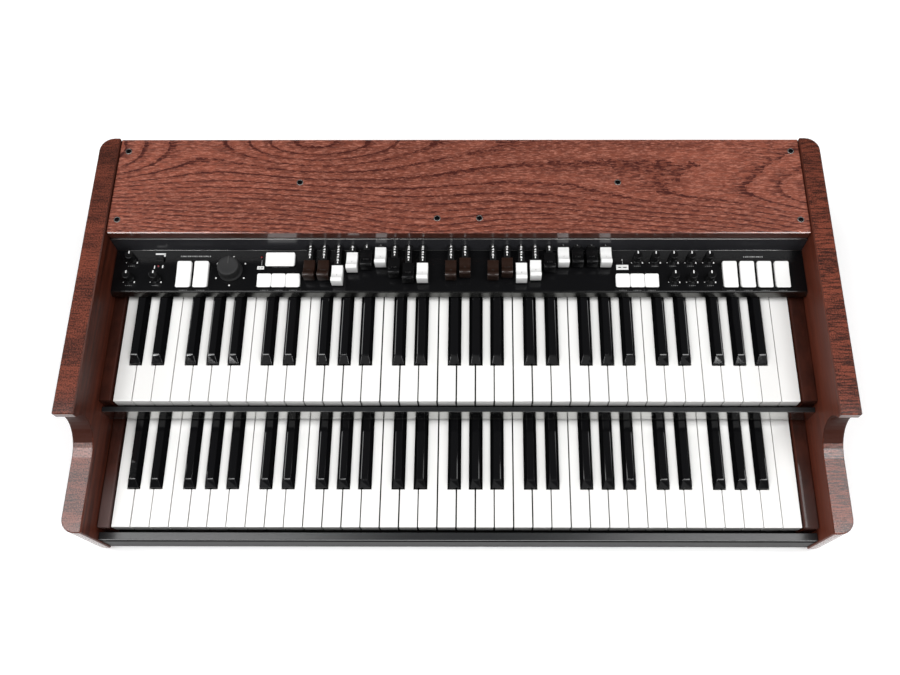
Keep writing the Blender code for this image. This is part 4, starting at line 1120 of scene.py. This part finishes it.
class ORGAN_OT_rear(bpy.types.Operator):
    """Adds the sockets, switch and inlet pins of the rear panel"""

    bl_idname = "organ.rear"
    bl_label = "Rear fittings"

    def execute(self, context):
        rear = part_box("rear_panel")[1][1]
        face = Matrix.Translation((0, rear, 0)) @ Matrix.Rotation(-math.pi / 2, 4, "X")
        self.jacks(face)
        self.round_sockets(face)
        self.switch(face)
        self.pins()
        return {"FINISHED"}

    @staticmethod
    def on_face(face, x, z):
        return face @ Matrix.Translation((x, -z, 0))

    def jacks(self, face):
        """Jack sockets: a nut, a threaded collar and a dark bore."""
        shape = bmesh.new()
        for i in range(8):
            spot = Matrix.Translation((0.06 + i * 0.042, -0.092, 0))
            turned(shape, [(0.0034, 0.0004), (0.0034, 0.0018), (0.0046, 0.0018), (0.0046, 0.0)], 24, spot)
            turned(shape, [(0.0048, 0.0013), (0.0066, 0.0013), (0.0070, 0.0010), (0.0070, 0.0)], 6, spot)
            bore = [(0.0001, 0.0005), (0.0033, 0.0005), (0.0033, 0.0002)]
            before = set(shape.faces)
            turned(shape, bore, 20, spot)
            for face_made in set(shape.faces) - before:
                face_made.material_index = 1
        mesh = mesh_of("jacks", shape, 30)
        mesh.materials.append(finish_of("plated"))
        mesh.materials.append(finish_of("black_plastic"))
        piece("jack_sockets", mesh, (), "case", face)

    def round_sockets(self, face):
        """Two round sockets with five contacts each."""
        shape = bmesh.new()
        for x in (-0.05, -0.015):
            spot = Matrix.Translation((x, -0.092, 0))
            turned(shape, [(0.0070, 0.0006), (0.0076, 0.0014), (0.0088, 0.0014), (0.0094, 0.0)], 32, spot)
            for k in range(5):
                angle = math.radians(45 * k)
                pin = spot @ Matrix.Translation((0.0042 * math.cos(angle), -0.0042 * math.sin(angle), 0))
                before = set(shape.faces)
                turned(shape, [(0.0006, 0.0009), (0.0008, 0.0007), (0.0008, 0.0005)], 12, pin)
                for made in set(shape.faces) - before:
                    made.material_index = 1
        mesh = mesh_of("round_sockets", shape, 30)
        mesh.materials.append(finish_of("black_plastic"))
        mesh.materials.append(finish_of("plated"))
        piece("round_sockets", mesh, (), "case", face)

    def switch(self, face):
        """The power switch: a rocker in a flat frame."""
        shape = bmesh.new()
        x, z = -0.330, 0.060
        add_box(shape, (x - 0.0105, -z - 0.0075, 0.0), (x + 0.0105, -z + 0.0075, 0.0010))
        rocker = add_box(shape, (x - 0.0085, -z - 0.0055, 0.0005), (x + 0.0085, -z + 0.0055, 0.0018))
        for vertex in rocker:
            if vertex.co.z > 0.001 and vertex.co.x > x:
                vertex.co.z = 0.0011
        round_edges(shape, 0.0002, 2)
        piece("power_switch", mesh_of("power_switch", shape), ("black_plastic",), "case", face)

    def pins(self):
        """The three flat pins in the inlet."""
        low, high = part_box("power_inlet")
        x, z = (low[0] + high[0]) / 2, (low[2] + high[2]) / 2
        floor = low[1] + 0.002
        shape = bmesh.new()
        for dx, dz in ((-0.007, -0.002), (0.0, 0.002), (0.007, -0.002)):
            corner = (x + dx - 0.001, floor - 0.0005, z + dz - 0.002)
            add_box(shape, corner, (x + dx + 0.001, floor + 0.013, z + dz + 0.002))
        round_edges(shape, 0.0004, 2)
        piece("inlet_pins", mesh_of("inlet_pins", shape), ("plated",), "case")


def soft_light(name, size, location, target, power):
    """A rectangular softbox aimed at a point."""
    data = bpy.data.lights.new(name, "AREA")
    data.shape = "RECTANGLE"
    data.size, data.size_y = size
    data.energy = power
    light = bpy.data.objects.new(name, data)
    light.location = location
    light.rotation_euler = (Vector(target) - Vector(location)).to_track_quat("-Z", "Y").to_euler()
    bpy.context.scene.collection.objects.link(light)
    return light


class ORGAN_OT_studio(bpy.types.Operator):
    """Makes the pale floor, the soft lights and the camera"""

    bl_idname = "organ.studio"
    bl_label = "Studio"

    def execute(self, context):
        settings = context.scene.organ_studio
        self.floor()
        self.surround(settings.surround)
        power, fill = settings.softbox_power, settings.fill_power
        soft_light("front_fill", (2.4, 1.2), (0, -2.6, 1.5), (0, 0, 0.1), fill / 2)
        for name, side in (("left", -1), ("right", 1)):
            soft_light(name + "_softbox", (1.45, 1.3), (side * 1.27, -0.42, 2.5), (side * 1.27, -0.42, 0), power)
            soft_light(name + "_rear_softbox", (0.50, 0.36), (side * 1.56 - 0.07, 0.42, 2.5), (side * 1.56 - 0.07, 0.42, 0), power / 18)
            soft_light(name + "_edge_strip", (1.0, 0.12), (side * 1.35, -2.0, 1.34), (side * 0.4, 0.1, 0.18), fill)
            soft_light(name + "_scoop_strip", (0.3, 0.8), (side * 1.66, -1.5, 2.5), (side * 0.455, -0.13, 0.15), power * 0.09)
            soft_light(name + "_side", (1.2, 0.8), (side * 2.4, 1.0, 1.7), (0, 0, 0.1), fill * 2)
        self.camera(settings.lens)
        context.scene.view_settings.view_transform = "Standard"
        return {"FINISHED"}

    def floor(self):
        shape = bmesh.new()
        bmesh.ops.create_grid(shape, x_segments=2, y_segments=2, size=8.0)
        mesh = mesh_of("floor", shape)
        paper = Finish("floor_paper", roughness=0.9, emission_strength=0.22)
        cloud = paper.noise(paper.place(), 0.6, 2.0, 0.5)
        tone = paper.blend(cloud, (0.86, 0.86, 0.86), (0.88, 0.88, 0.88))
        mesh.materials.append(paper.set(base_color=tone, emission_color=(1.0, 1.0, 1.0)))
        floor = bpy.data.objects.new("floor", mesh)
        bpy.context.scene.collection.objects.link(floor)

    def surround(self, strength):
        world = bpy.data.worlds.new("studio")
        bpy.context.scene.world = world
        world.use_nodes = True
        background = world.node_tree.nodes["Background"]
        background.inputs["Color"].default_value = (0.95, 0.97, 1.0, 1.0)
        background.inputs["Strength"].default_value = strength

    def camera(self, lens):
        """The photograph's camera, from its pitch, yaw and roll."""
        pitch, yaw, roll = (math.radians(angle) for angle in (67.563, 0.838, -0.746))
        turn = Matrix.Rotation(yaw, 3, "Z")
        forward = turn @ Vector((0, math.cos(pitch), -math.sin(pitch)))
        up = turn @ Vector((0, math.sin(pitch), math.cos(pitch)))
        right = turn @ Vector((1, 0, 0))
        across = math.cos(roll) * right + math.sin(roll) * up
        upward = math.cos(roll) * up - math.sin(roll) * right
        data = bpy.data.cameras.new("camera")
        data.lens = lens
        data.sensor_fit = "HORIZONTAL"
        data.sensor_width = 36.0
        data.shift_x = -0.0296
        camera = bpy.data.objects.new("camera", data)
        facing = Matrix((across, upward, -forward)).transposed().to_4x4()
        camera.matrix_world = Matrix.Translation((0.0299, -0.4603, 1.2216)) @ facing
        bpy.context.scene.collection.objects.link(camera)
        bpy.context.scene.camera = camera


class ORGAN_PT_panel(bpy.types.Panel):
    """Lists the organ's settings and operators"""

    bl_label = "Drawbar organ"
    bl_idname = "ORGAN_PT_panel"
    bl_space_type = "VIEW_3D"
    bl_region_type = "UI"
    bl_category = "Organ"

    def draw(self, context):
        for group in (context.scene.organ_woods, context.scene.organ_paints, context.scene.organ_studio):
            column = self.layout.column()
            for name in group.__annotations__:
                column.prop(group, name)
        for operator in OPERATORS:
            self.layout.operator(operator.bl_idname)


SETTINGS = {"organ_woods": OrganWoods, "organ_paints": OrganPaints, "organ_studio": OrganStudio}
OPERATORS = (
    ORGAN_OT_finishes, ORGAN_OT_case, ORGAN_OT_keys, ORGAN_OT_screws, ORGAN_OT_drawbars, ORGAN_OT_knobs,
    ORGAN_OT_tabs, ORGAN_OT_marks, ORGAN_OT_rear, ORGAN_OT_studio,
)


def register():
    for name, group in SETTINGS.items():
        bpy.utils.register_class(group)
        setattr(bpy.types.Scene, name, bpy.props.PointerProperty(type=group))
    for made in (*OPERATORS, ORGAN_PT_panel):
        bpy.utils.register_class(made)


def unregister():
    for made in (ORGAN_PT_panel, *reversed(OPERATORS)):
        bpy.utils.unregister_class(made)
    for name, group in SETTINGS.items():
        delattr(bpy.types.Scene, name)
        bpy.utils.unregister_class(group)


def main():
    register()
    for operator in OPERATORS:
        group, name = operator.bl_idname.split(".")
        getattr(getattr(bpy.ops, group), name)()


if __name__ == "__main__":
    main()
